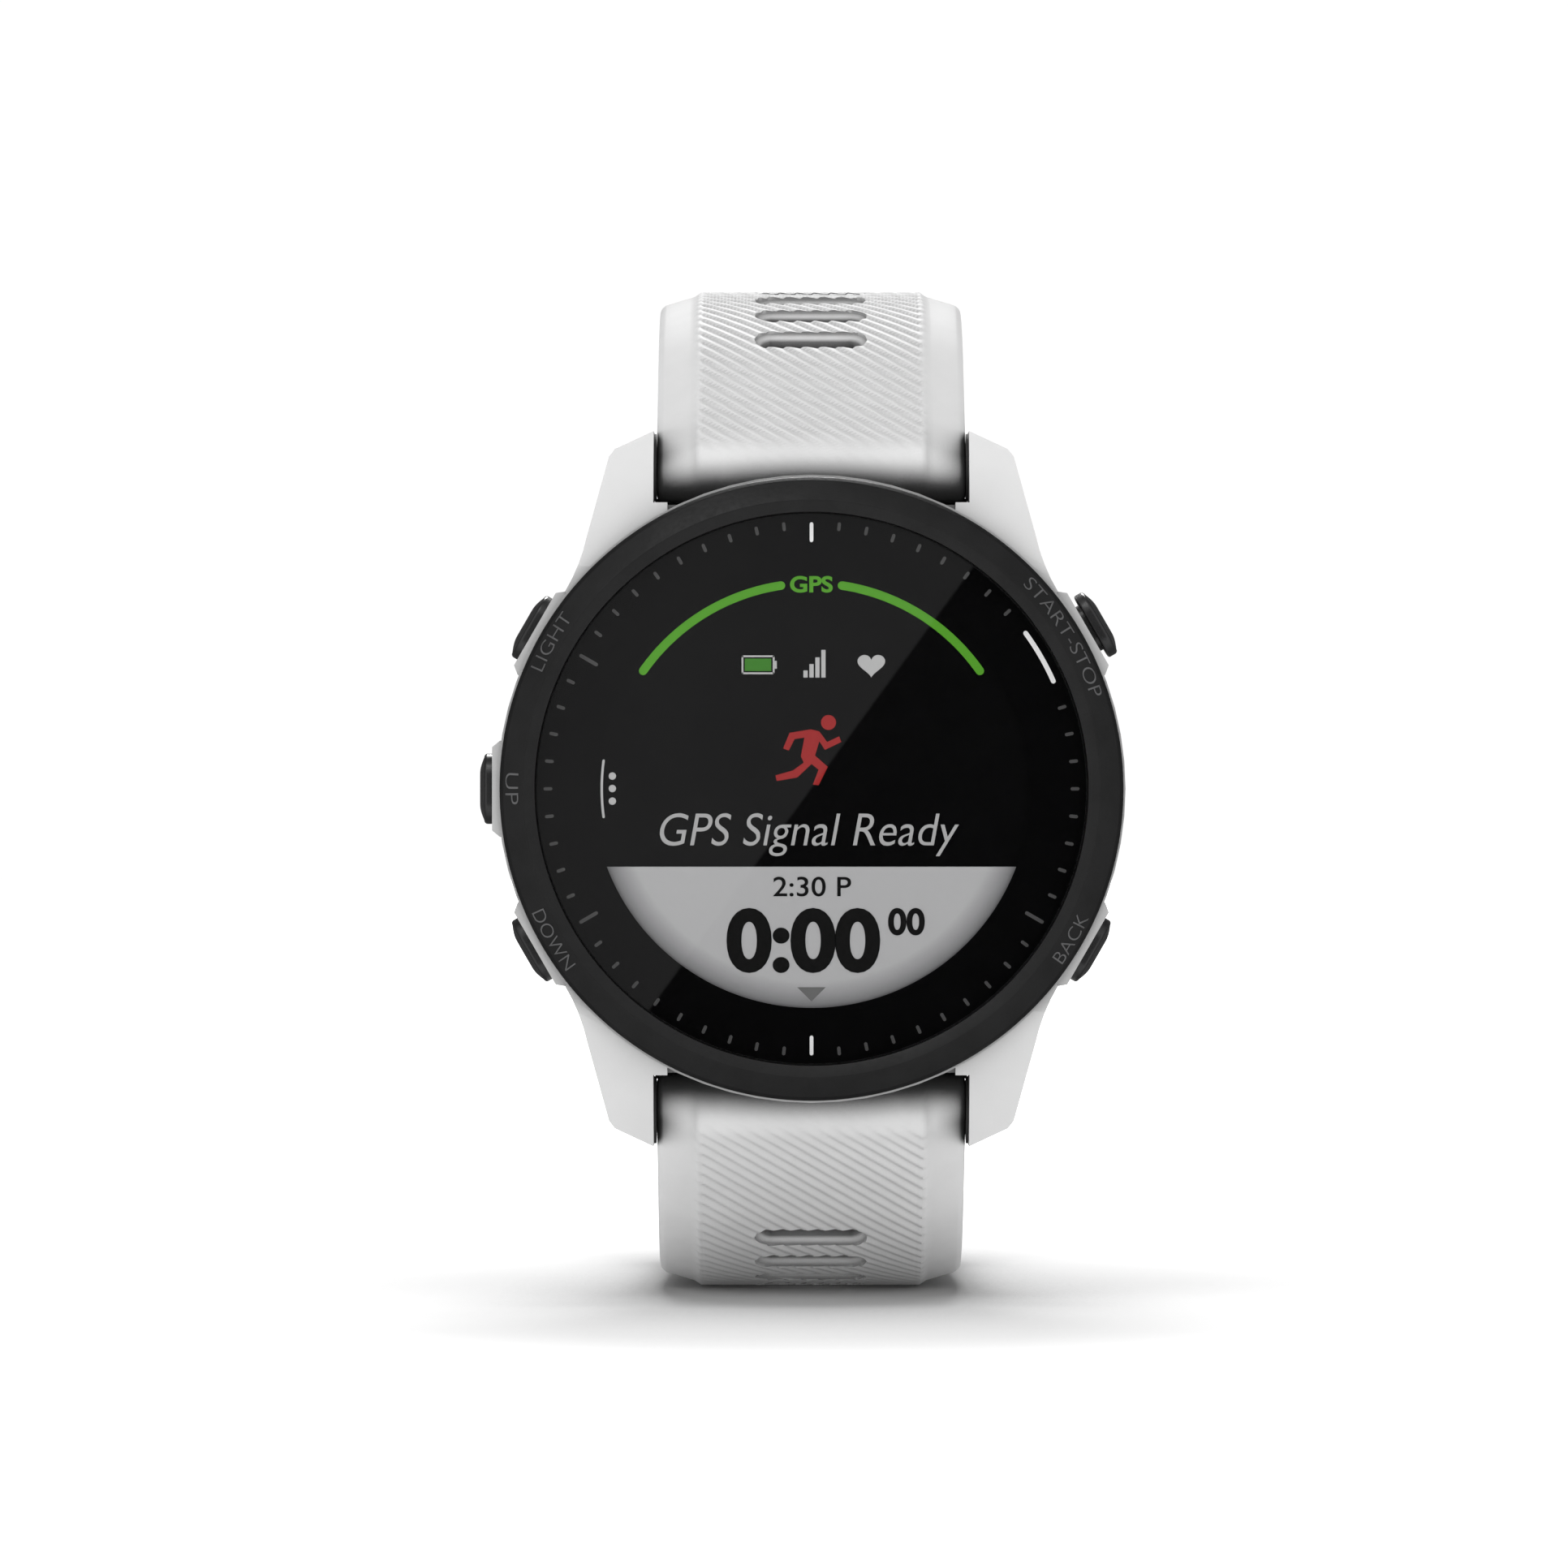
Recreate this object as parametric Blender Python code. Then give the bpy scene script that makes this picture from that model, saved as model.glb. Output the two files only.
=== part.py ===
"""GPS running watch: round case with five side buttons, and a two-piece silicone strap on quick-release pins.

Every piece is modelled in the watch's own axes, in millimetres: X points to 3 o'clock, Y to 12 o'clock and
Z out of the dial, with Z = 0 on the face that touches the wrist. The empty watch_axes stands the watch
upright, so that 12 o'clock is up and the dial looks along -Y. The origin is the centre of the wrist face.
"""

import math

import bmesh
import bpy
from mathutils import Matrix, Vector

MM = 0.001

# Case, heights along Z from the wrist face
BEZEL_TOP = 13.7
BEZEL_RADIUS = 22.0
BEZEL_CREST_RADIUS = 20.3
BEZEL_BASE = 11.45
LENS_RADIUS = 19.4
LENS_FRONT = 13.35
LENS_BACK = 12.15
LEDGE = 11.95
WINDOW_RADIUS = 17.2
SHELL_RADIUS = 22.18
SHELL_TOP = 11.35
SHELL_BASE = 3.3
CAVITY_RADIUS = 19.3
COVER_RADIUS = 19.9

# Lugs and the pins between them
LUG_GAP = 22.4
LUG_RECESS = 20.2
LUG_RECESS_TOP = 9.6
PIN_Y = 22.9
PIN_Z = 4.6
PIN_RADIUS = 0.8
PIN_LENGTH = 25.4

# Buttons, heights measured outwards from the case centre
BUTTON_Z = 7.6
BUTTON_ANGLES = {"start": 30, "back": -30, "light": 150, "up": 180, "down": 210}
GUARD_RADIUS = 22.6
POCKET_FLOOR = 20.9
CAP_LENGTH = 5.0
CAP_WIDTH = 3.2
STEM_RADIUS = 0.9
STEM_HOLE = 1.2
STEM_END = 18.55
SEAL_RADIUS = 20.2
SWITCH_FRONT = 18.15

# Screws of the rear cover
SCREW_ANGLES = (60, 120, 240, 300)
SCREW_CIRCLE = 17.4

# Strap: side profile as the normal's angle from the dial's axis, then lines and arcs
STRAP_WIDTH = 22.0
STRAP_THICK = 2.7
KNUCKLE = 2.5
SHOULDER_ANGLE = 50
SHOULDER_LENGTH = 8.65
CROWN_RADIUS = 26.5
WRIST_ANGLE = 90
UPPER_END_LENGTH = 5.0
FLOOR_LENGTH = 20.0
CURL_RADIUS = 32.0
CURL_ANGLE = 78
LOWER_END_LENGTH = 19.0
RIB_HALF_WIDTH = 8.2
SLOT_FIRST = 14.5
SLOT_PITCH = 4.1
UPPER_SLOTS = 7
LOWER_SLOTS = 21
SLOT_RIM = (8.1, 2.3)
SLOT_HOLE = (7.2, 1.5)
SLOT_STEP = 0.45

# Buckle
BUCKLE_PIN_RADIUS = 0.7
BUCKLE_LENGTH = 9.6
BUCKLE_INNER = 22.8
BUCKLE_BAR = 1.7
TONGUE_WIDTH = 5.2

ROUND = 72
SMALL_ROUND = 16


def clear_scene():
    for obj in list(bpy.data.objects):
        bpy.data.objects.remove(obj)


def material(name, colour, roughness, metallic=0.0):
    made = bpy.data.materials.new(name)
    made.use_nodes = True
    shader = made.node_tree.nodes["Principled BSDF"]
    shader.inputs["Base Color"].default_value = (*colour, 1.0)
    shader.inputs["Roughness"].default_value = roughness
    shader.inputs["Metallic"].default_value = metallic
    made.diffuse_color = (*colour, 1.0)
    return made


def add_mesh(name, bm, location, rotation, parent):
    """Turns a bmesh in millimetres into an object in metres."""
    bmesh.ops.recalc_face_normals(bm, faces=bm.faces)
    bmesh.ops.scale(bm, vec=(MM, MM, MM), verts=bm.verts)
    mesh = bpy.data.meshes.new(name)
    bm.to_mesh(mesh)
    bm.free()
    obj = bpy.data.objects.new(name, mesh)
    bpy.context.scene.collection.objects.link(obj)
    obj.parent = parent
    obj.location = Vector(location) * MM
    obj.rotation_euler = rotation
    return obj


def solid(name, bm, finish, parent, location=(0, 0, 0), rotation=(0, 0, 0)):
    obj = add_mesh(name, bm, location, rotation, parent)
    obj.data.materials.append(finish)
    obj.data.shade_smooth()
    obj.data.set_sharp_from_angle(angle=math.radians(35))
    return obj


def cutter(name, bm, parent, location=(0, 0, 0), rotation=(0, 0, 0)):
    obj = add_mesh(name, bm, location, rotation, parent)
    obj.hide_render = True
    obj.display_type = "WIRE"
    return obj


def combine(obj, tool, operation):
    step = obj.modifiers.new(tool.name, "BOOLEAN")
    step.operation = operation
    step.solver = "EXACT"
    step.object = tool


def axes_empty(name, parent=None, location=(0, 0, 0), rotation=(0, 0, 0)):
    empty = bpy.data.objects.new(name, None)
    bpy.context.scene.collection.objects.link(empty)
    empty.parent = parent
    empty.location = Vector(location) * MM
    empty.rotation_euler = rotation
    return empty


def turned(profile, steps, closed=False):
    """A solid turned about Z from (radius, height) points. An open profile starts and ends on the axis."""
    bm = bmesh.new()
    points = [bm.verts.new((radius, 0, height)) for radius, height in profile]
    edges = [bm.edges.new(pair) for pair in zip(points, points[1:])]
    if closed:
        edges.append(bm.edges.new((points[-1], points[0])))
    bmesh.ops.spin(
        bm, geom=points + edges, cent=(0, 0, 0), axis=(0, 0, 1), angle=math.tau, steps=steps, use_merge=True
    )
    bmesh.ops.remove_doubles(bm, verts=bm.verts, dist=1e-4)
    return bm


def disc(radius, low, high, steps=ROUND):
    return turned([(0, low), (radius, low), (radius, high), (0, high)], steps)


def ring(inner, outer, low, high, steps=ROUND):
    return turned([(inner, low), (outer, low), (outer, high), (inner, high)], steps, closed=True)


def loft(rings):
    """A closed solid through rings of equally many points, capped at both ends."""
    bm = bmesh.new()
    rows = [[bm.verts.new(point) for point in points] for points in rings]
    for low, high in zip(rows, rows[1:]):
        for i in range(len(low)):
            j = (i + 1) % len(low)
            bm.faces.new((low[i], low[j], high[j], high[i]))
    bm.faces.new(rows[0])
    bm.faces.new(rows[-1])
    return bm


def prism(outline, low, high):
    return loft([[(x, y, z) for x, y in outline] for z in (low, high)])


def box(size, centre):
    bm = bmesh.new()
    bmesh.ops.create_cube(bm, matrix=Matrix.Translation(centre) @ Matrix.Diagonal((*size, 1)))
    return bm


def gather(pieces):
    """One bmesh that holds several separate ones."""
    bm = bmesh.new()
    for piece in pieces:
        held = bpy.data.meshes.new("held")
        bmesh.ops.recalc_face_normals(piece, faces=piece.faces)
        piece.to_mesh(held)
        piece.free()
        bm.from_mesh(held)
        bpy.data.meshes.remove(held)
    return bm


def moved(bm, matrix):
    bmesh.ops.transform(bm, matrix=matrix, verts=bm.verts)
    return bm


def stadium(length, width, count=SMALL_ROUND):
    """Outline of a slot with round ends, long along X."""
    radius = width / 2
    reach = length / 2 - radius
    points = []
    for i in range(count):
        angle = math.tau * (i + 0.5) / count
        side = math.copysign(reach, math.cos(angle))
        points.append((side + radius * math.cos(angle), radius * math.sin(angle)))
    return points


def circle(radius, count=SMALL_ROUND):
    return [
        (radius * math.cos(math.tau * (i + 0.5) / count), radius * math.sin(math.tau * (i + 0.5) / count))
        for i in range(count)
    ]


def stack(levels):
    """A solid through flat outlines, each given as (outline, height)."""
    return loft([[(x, y, height) for x, y in outline] for outline, height in levels])


def chamfered(half_x, half_y, corner):
    """Outline of a rectangle with cut corners."""
    return [
        (half_x - corner, -half_y),
        (half_x, corner - half_y),
        (half_x, half_y - corner),
        (half_x - corner, half_y),
        (corner - half_x, half_y),
        (-half_x, half_y - corner),
        (-half_x, corner - half_y),
        (corner - half_x, -half_y),
    ]


def polar(radius, degrees, z):
    angle = math.radians(degrees)
    return (radius * math.cos(angle), radius * math.sin(angle), z)


def radial_frame(degrees):
    """Local Z outwards from the case centre, local X along the rim and local Y out of the dial."""
    angle = math.radians(degrees)
    along = Vector((math.sin(angle), -math.cos(angle), 0))
    out = Vector((math.cos(angle), math.sin(angle), 0))
    columns = (along, out.cross(along), out)
    return Matrix(columns).transposed().to_euler()


# ---------------------------------------------------------------- case


def lug_outline():
    """One lug seen from the front. The flank ends in a hollow curve that meets the case."""
    tip = [(10.2, 25.87), (13.95, 24.1), (14.36, 23.56)]
    flank_end, hollow_end = (15.87, 17.9), (17.4, 13.95)
    bend = (16.3, 15.8)
    hollow = []
    for i in range(5):
        t = i / 4
        weights = ((1 - t) ** 2, 2 * t * (1 - t), t * t)
        hollow.append(
            tuple(sum(w * p[k] for w, p in zip(weights, (flank_end, bend, hollow_end))) for k in range(2))
        )
    return tip + hollow + [(16.4, 12.7), (10.2, 17.9)]


def lug():
    bm = prism(lug_outline(), 0.9, 11.2)
    slopes = (
        ((0, 16.0, 11.1), (0, 0.35, 1.0)),
        ((0, 17.0, 3.3), (0, -0.26, -1.0)),
    )
    for point, normal in slopes:
        geometry = bm.verts[:] + bm.edges[:] + bm.faces[:]
        cut = bmesh.ops.bisect_plane(bm, geom=geometry, plane_co=point, plane_no=normal, clear_outer=True)
        rim = [e for e in cut["geom_cut"] if isinstance(e, bmesh.types.BMEdge)]
        bmesh.ops.contextual_create(bm, geom=rim)
    return bm


def guard():
    """Raised pad round one button, long along the rim."""
    outline = [(-3.7, -2.0), (-3.4, -0.55), (-2.95, 0), (2.95, 0), (3.4, -0.55), (3.7, -2.0)]
    bm = prism(outline, -2.4, 2.4)
    return moved(bm, Matrix.Rotation(math.radians(90), 4, "X"))


def make_case_shell(watch, white):
    profile = [
        (CAVITY_RADIUS, SHELL_BASE),
        (20.6, SHELL_BASE),
        (21.6, 5.6),
        (SHELL_RADIUS, 8.6),
        (SHELL_RADIUS, SHELL_TOP),
        (CAVITY_RADIUS, SHELL_TOP),
    ]
    shell = solid("case_shell", turned(profile, ROUND, closed=True), white, watch)
    for name, sx, sy in (("ne", 1, 1), ("nw", -1, 1), ("sw", -1, -1), ("se", 1, -1)):
        bm = moved(lug(), Matrix.Diagonal((sx, sy, 1, 1)))
        combine(shell, cutter("lug_" + name, bm, watch), "UNION")
    for name, degrees in BUTTON_ANGLES.items():
        tool = cutter("guard_" + name, guard(), watch, polar(GUARD_RADIUS, degrees, BUTTON_Z), radial_frame(degrees))
        combine(shell, tool, "UNION")
    walls = [
        box((3.0, 2.4, 2.8), (sx * 10.1, sy * 19.0, 4.8))
        for sx, sy in ((1, 1), (-1, 1), (-1, -1), (1, -1))
    ]
    combine(shell, cutter("corner_walls", gather(walls), watch), "UNION")
    reach = 12.0
    gaps = [
        box((LUG_GAP, reach, 20.0), (0, side * (LUG_RECESS + reach / 2), LUG_RECESS_TOP - 10.0))
        for side in (1, -1)
    ]
    combine(shell, cutter("lug_gaps", gather(gaps), watch), "DIFFERENCE")
    bores = []
    for side in (1, -1):
        bore = moved(
            disc(PIN_RADIUS + 0.1, -13.1, 13.1, SMALL_ROUND), Matrix.Rotation(math.radians(90), 4, "Y")
        )
        bores.append(moved(bore, Matrix.Translation((0, side * PIN_Y, PIN_Z))))
    combine(shell, cutter("pin_bores", gather(bores), watch), "DIFFERENCE")
    for name, degrees in BUTTON_ANGLES.items():
        depth = POCKET_FLOOR - GUARD_RADIUS
        pocket = stack(
            [
                (circle(STEM_HOLE), -4.5),
                (circle(STEM_HOLE), depth),
                (stadium(CAP_LENGTH + 0.3, CAP_WIDTH + 0.3), depth),
                (stadium(CAP_LENGTH + 0.3, CAP_WIDTH + 0.3), 1.5),
            ]
        )
        place = polar(GUARD_RADIUS, degrees, BUTTON_Z)
        combine(shell, cutter("pocket_" + name, pocket, watch, place, radial_frame(degrees)), "DIFFERENCE")


def make_front(watch, finishes):
    """Bezel, lens and what is glued under it."""
    bezel = [
        (WINDOW_RADIUS, BEZEL_BASE),
        (BEZEL_RADIUS, BEZEL_BASE),
        (BEZEL_RADIUS, 12.4),
        (21.75, 12.8),
        (BEZEL_CREST_RADIUS, BEZEL_TOP),
        (LENS_RADIUS + 0.1, 13.45),
        (LENS_RADIUS + 0.1, LEDGE),
        (WINDOW_RADIUS, LEDGE),
    ]
    solid("bezel", turned(bezel, ROUND, closed=True), finishes["black"], watch)
    glass = [(0, LENS_BACK), (LENS_RADIUS, LENS_BACK), (LENS_RADIUS, 13.2), (19.25, LENS_FRONT), (0, LENS_FRONT)]
    solid("lens", turned(glass, ROUND), finishes["glass"], watch)
    solid("lens_gasket", ring(17.6, 19.3, 12.0, 12.1, 36), finishes["seal"], watch)
    solid("display_panel", disc(16.2, 10.6, 11.9, 72), finishes["display"], watch)
    solid("backlight_plate", disc(16.0, 10.0, 10.5, 48), finishes["diffuser"], watch)
    solid("gps_antenna", ring(17.0, 18.9, 9.9, 10.3, 36), finishes["steel"], watch)


def make_inner_chassis(watch, black):
    chassis = solid("inner_chassis", ring(15.6, 19.1, 4.9, 9.8, 72), black, watch)
    for name, degrees in BUTTON_ANGLES.items():
        notch = box((4.4, 4.4, 2.6), (0, 0, 18.5))
        tool = cutter("notch_" + name, notch, watch, (0, 0, BUTTON_Z), radial_frame(degrees))
        combine(chassis, tool, "DIFFERENCE")
    holes = [
        moved(disc(0.55, 4.0, 8.0, 12), Matrix.Translation(polar(SCREW_CIRCLE, degrees, 0)))
        for degrees in SCREW_ANGLES
    ]
    combine(chassis, cutter("boss_holes", gather(holes), watch), "DIFFERENCE")


def make_electronics(watch, finishes):
    """What the sealed case holds between the display and the rear cover."""
    solid("main_board", disc(15.2, 8.6, 9.4, 48), finishes["board"], watch)
    solid("processor_shield", prism(chamfered(5.0, 3.5, 0.5), 7.3, 8.5), finishes["steel"], watch, (4.6, -8.0, 0))
    battery = stack(
        [
            (chamfered(9.2, 6.95, 0.8), 5.0),
            (chamfered(9.5, 7.25, 1.0), 5.4),
            (chamfered(9.5, 7.25, 1.0), 8.0),
            (chamfered(9.2, 6.95, 0.8), 8.4),
        ]
    )
    solid("battery", battery, finishes["foil"], watch, (0, 4.2, 0))
    solid("buzzer", disc(3.0, 7.4, 8.5, 24), finishes["brass"], watch, (-5.0, -10.6, 0))
    for name, degrees in BUTTON_ANGLES.items():
        switch = stack(
            [
                (chamfered(1.6, 1.2, 0.2), 17.3),
                (chamfered(1.6, 1.2, 0.2), 17.8),
                (chamfered(0.8, 0.8, 0.3), 17.8),
                (chamfered(0.6, 0.6, 0.2), SWITCH_FRONT),
            ]
        )
        solid("switch_" + name, switch, finishes["steel"], watch, (0, 0, BUTTON_Z), radial_frame(degrees))


def make_vibration_motor(watch, finishes):
    """Can and shaft stay put. The half-round weight spins on the shaft, along X."""
    place, turn = (-11.4, -5.2, 6.7), (0, math.radians(90), 0)
    can = turned([(0, 0), (1.6, 0), (1.6, 6.0), (0.3, 6.0), (0.3, 8.6), (0, 8.6)], 20)
    solid("vibration_motor", can, finishes["steel"], watch, place, turn)
    arc = [(1.5 * math.cos(math.pi * i / 10), 1.5 * math.sin(math.pi * i / 10)) for i in range(11)]
    weight = solid("vibration_weight", prism(arc + [(-1.5, -0.6), (1.5, -0.6)], 6.2, 8.4), finishes["brass"], watch, place, turn)
    combine(weight, cutter("shaft_hole", disc(0.36, 6.0, 8.8, 12), watch, place, turn), "DIFFERENCE")


def make_rear(watch, finishes):
    """Rear cover, its seal and screws, the optical sensor and the charging contacts."""
    profile = [
        (8.9, 0.3),
        (9.7, 0.3),
        (11.6, 0.75),
        (16.6, 1.15),
        (19.2, 1.9),
        (COVER_RADIUS, 2.7),
        (COVER_RADIUS, 3.2),
        (18.6, 3.2),
        (18.6, 4.6),
        (12.5, 4.6),
        (12.5, 2.3),
        (8.9, 2.3),
    ]
    cover = solid("rear_cover", turned(profile, ROUND, closed=True), finishes["black"], watch)
    hollows = []
    for degrees in SCREW_ANGLES:
        hole = turned([(0, 6), (0.6, 6), (0.6, 2.6), (1.35, 2.6), (1.35, -1), (0, -1)], SMALL_ROUND)
        hollows.append(moved(hole, Matrix.Translation(polar(SCREW_CIRCLE, degrees, 0))))
    hollows.append(moved(prism(chamfered(4.0, 1.45, 0.5), -1, 6), Matrix.Translation((0, -15.0, 0))))
    combine(cover, cutter("cover_holes", gather(hollows), watch), "DIFFERENCE")

    section = [(18.95 + 0.27 * math.cos(a), 4.0 + 0.27 * math.sin(a)) for a in angles(6)]
    solid("rear_gasket", turned(section, 36, closed=True), finishes["seal"], watch)
    for number, degrees in enumerate(SCREW_ANGLES, 1):
        screw = turned(
            [(0, 2.0), (0.5, 2.0), (0.5, 1.7), (1.2, 1.7), (1.2, 2.5), (0.45, 2.5), (0.45, 7.4), (0, 7.6)], 12
        )
        solid(f"rear_screw_{number}", screw, finishes["steel"], watch, polar(SCREW_CIRCLE, degrees, 0))

    window = turned([(0, 0), (8.3, 0), (8.8, 0.2), (8.8, 1.4), (0, 1.4)], 64)
    solid("sensor_window", window, finishes["glass"], watch)
    solid("sensor_board", disc(11.6, 2.6, 3.3, 48), finishes["board"], watch)
    lamp = chamfered(1.3, 0.9, 0.2)
    solid("green_led_left", prism(lamp, 1.6, 2.5), finishes["led"], watch, (-5.2, 0, 0))
    solid("green_led_right", prism(lamp, 1.6, 2.5), finishes["led"], watch, (5.2, 0, 0))
    solid("red_led", prism(lamp, 1.6, 2.5), finishes["led"], watch, (0, 5.0, 0))
    solid("photodiode", prism(chamfered(1.6, 1.6, 0.3), 1.6, 2.5), finishes["display"], watch)

    socket = solid("charge_socket", prism(chamfered(3.85, 1.3, 0.45), 1.35, 4.0), finishes["black"], watch, (0, -15.0, 0))
    places = [(-2.7 + 1.8 * i, 0, 0) for i in range(4)]
    holes = [moved(disc(0.6, 0, 6, 12), Matrix.Translation(place)) for place in places]
    combine(socket, cutter("contact_holes", gather(holes), watch, (0, -15.0, 0)), "DIFFERENCE")
    for number, (x, _, _) in enumerate(places, 1):
        pin = turned([(0, 1.5), (0.4, 1.5), (0.5, 1.6), (0.5, 4.5), (0, 4.5)], 12)
        solid(f"charge_contact_{number}", pin, finishes["gold"], watch, (x, -15.0, 0))


def angles(count):
    return [math.tau * i / count for i in range(count)]


# ---------------------------------------------------------------- buttons


def button_body(cap_low, cap_edge, cap_crown, neck):
    """Cap and stem of a button. Heights are measured from the guard's face, outwards."""
    inner = SEAL_RADIUS - GUARD_RADIUS
    levels = [
        (circle(STEM_RADIUS), STEM_END - GUARD_RADIUS),
        (circle(STEM_RADIUS), inner - 0.24),
        (circle(0.64), inner - 0.24),
        (circle(0.64), inner + 0.24),
        (circle(STEM_RADIUS), inner + 0.24),
        (circle(STEM_RADIUS), -1.0),
    ]
    if neck:
        levels += [(stadium(3.6, 2.2), -1.0), (stadium(3.6, 2.2), cap_low)]
    levels += [
        (stadium(CAP_LENGTH - 0.3, CAP_WIDTH - 0.3), cap_low),
        (stadium(CAP_LENGTH, CAP_WIDTH), cap_low + 0.15),
        (stadium(CAP_LENGTH, CAP_WIDTH), cap_edge - 0.2),
        (stadium(CAP_LENGTH - 0.5, CAP_WIDTH - 0.5), cap_edge),
        (stadium(CAP_LENGTH - 2.2, CAP_WIDTH - 2.0), cap_crown),
    ]
    return stack(levels)


def make_buttons(watch, finishes):
    """Each button slides in along its own radius. Its origin is on that axis, at the guard's face."""
    section = [(0.92 + 0.18 * math.cos(a), 0.18 * math.sin(a)) for a in angles(5)]
    for name, degrees in BUTTON_ANGLES.items():
        place, turn = polar(GUARD_RADIUS, degrees, BUTTON_Z), radial_frame(degrees)
        axis = axes_empty("axis_button_" + name, watch, place, turn)
        if name == "start":
            body = button_body(cap_low=0.34, cap_edge=1.12, cap_crown=1.42, neck=True)
        else:
            body = button_body(cap_low=-1.0, cap_edge=0.62, cap_crown=0.92, neck=False)
        solid("button_" + name, body, finishes["black"], axis)
        seal = turned(section, 12, closed=True)
        solid("button_seal_" + name, seal, finishes["seal"], axis, (0, 0, SEAL_RADIUS - GUARD_RADIUS))


# ---------------------------------------------------------------- strap


def normal_of(degrees):
    """Outward normal of the strap, as (Y, Z), at that angle from the dial's axis."""
    angle = math.radians(degrees)
    return Vector((math.sin(angle), math.cos(angle)))


def tangent_of(degrees):
    angle = math.radians(degrees)
    return Vector((math.cos(angle), -math.sin(angle)))


def strap_point(pieces, distance):
    """(point, angle) on the strap's outer line, a distance along it from the end of the knuckle."""
    point = Vector((PIN_Y, PIN_Z)) + KNUCKLE * normal_of(SHOULDER_ANGLE)
    degrees = SHOULDER_ANGLE
    for kind, size, turn in pieces:
        length = size if kind == "line" else size * math.radians(turn)
        step = min(distance, length)
        if kind == "line":
            point = point + step * tangent_of(degrees)
        else:
            swept = math.degrees(step / size)
            point = point + size * (normal_of(degrees + swept) - normal_of(degrees))
            degrees += swept
        distance -= step
        if distance <= 1e-9:
            break
    return point, degrees


def strap_length(pieces):
    return sum(size if kind == "line" else size * math.radians(turn) for kind, size, turn in pieces)


def strap_stations(pieces, arc_step=3.0):
    """Distances at which the strap gets a cross-section: the ends of lines, and steps along arcs."""
    found, start = [0.0], 0.0
    for kind, size, turn in pieces:
        length = size if kind == "line" else size * math.radians(turn)
        count = 1 if kind == "line" else math.ceil(length / arc_step)
        found += [start + length * (i + 1) / count for i in range(count)]
        start += length
    return found


UPPER_PATH = [
    ("line", SHOULDER_LENGTH, 0),
    ("arc", CROWN_RADIUS, 90 - SHOULDER_ANGLE),
    ("arc", CROWN_RADIUS, WRIST_ANGLE),
    ("line", UPPER_END_LENGTH, 0),
]
LOWER_PATH = [
    ("line", SHOULDER_LENGTH, 0),
    ("arc", CROWN_RADIUS, 90 - SHOULDER_ANGLE),
    ("line", FLOOR_LENGTH, 0),
    ("arc", CURL_RADIUS, CURL_ANGLE),
    ("line", LOWER_END_LENGTH, 0),
]


def strap_section(half_width, thick):
    """Half round the strap and back: (X, height above the outer line). The middle stands above the margins."""
    edge = half_width
    outer = [(RIB_HALF_WIDTH, 0), (RIB_HALF_WIDTH + 0.35, -0.3), (edge - 0.5, -0.8), (edge, -1.2)]
    inner = [(edge, 0.5 - thick), (edge - 0.5, -thick)]
    right = outer + inner
    return right + [(-x, v) for x, v in reversed(right)]


def strap_body(pieces, taper_from=None):
    """Sweep of the section along the path. A tapering strap ends in a round tip."""
    total = strap_length(pieces)
    stations = strap_stations(pieces)
    if taper_from is not None:
        tip = [total - 9.0 * (1 - math.sin(math.radians(a))) for a in (30, 55, 75, 86)]
        stations = [s for s in stations if s < total - 9.0] + [total - 9.0] + tip
    rings = []
    for distance in stations:
        point, degrees = strap_point(pieces, distance)
        half = STRAP_WIDTH / 2
        if taper_from is not None:
            half -= 0.9 * max(0.0, min(1.0, (distance - taper_from) / 40.0))
            past = max(0.0, distance - (total - 9.0)) / 9.0
            half *= 0.25 + 0.75 * math.sqrt(max(0.0, 1 - past * past))
        out = normal_of(degrees)
        squeeze = min(1.0, half / (STRAP_WIDTH / 2 - 0.9))
        section = strap_section(STRAP_WIDTH / 2, STRAP_THICK)
        rings.append(
            [
                (x * half / (STRAP_WIDTH / 2), point.x + v * squeeze * out.x, point.y + v * squeeze * out.y)
                for x, v in section
            ]
        )
    return loft(rings)


def strap_frame(pieces, distance):
    """Matrix of local X across the strap, local Y along it and local Z out of it, at its outer surface."""
    point, degrees = strap_point(pieces, distance)
    along, out = tangent_of(degrees), normal_of(degrees)
    frame = Matrix(((1, 0, 0), (0, along.x, out.x), (0, along.y, out.y))).to_4x4()
    frame.translation = (0, point.x, point.y)
    return frame


def slot_cutters(pieces, count):
    """Round-ended holes, each at the bottom of a stepped rim."""
    made = []
    for number in range(count):
        hole = stack(
            [
                (stadium(*SLOT_HOLE, count=12), -6.0),
                (stadium(*SLOT_HOLE, count=12), -SLOT_STEP - 0.3),
                (stadium(*SLOT_RIM, count=12), -SLOT_STEP),
                (stadium(*SLOT_RIM, count=12), 1.5),
            ]
        )
        distance = SLOT_FIRST - KNUCKLE * math.radians(SHOULDER_ANGLE) + number * SLOT_PITCH
        made.append(moved(hole, strap_frame(pieces, distance)))
    return gather(made)


def along_x(bm):
    """Turns a solid made about Z so that its axis is X."""
    return moved(bm, Matrix.Rotation(math.radians(90), 4, "Y"))


def pin_frame():
    """The shoulder's axes with their origin on the lug pin: local Z out of the strap, local Y along it."""
    frame = strap_frame([("line", 1.0, 0)], 0.0)
    frame.translation = (0, PIN_Y, PIN_Z)
    return frame


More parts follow.
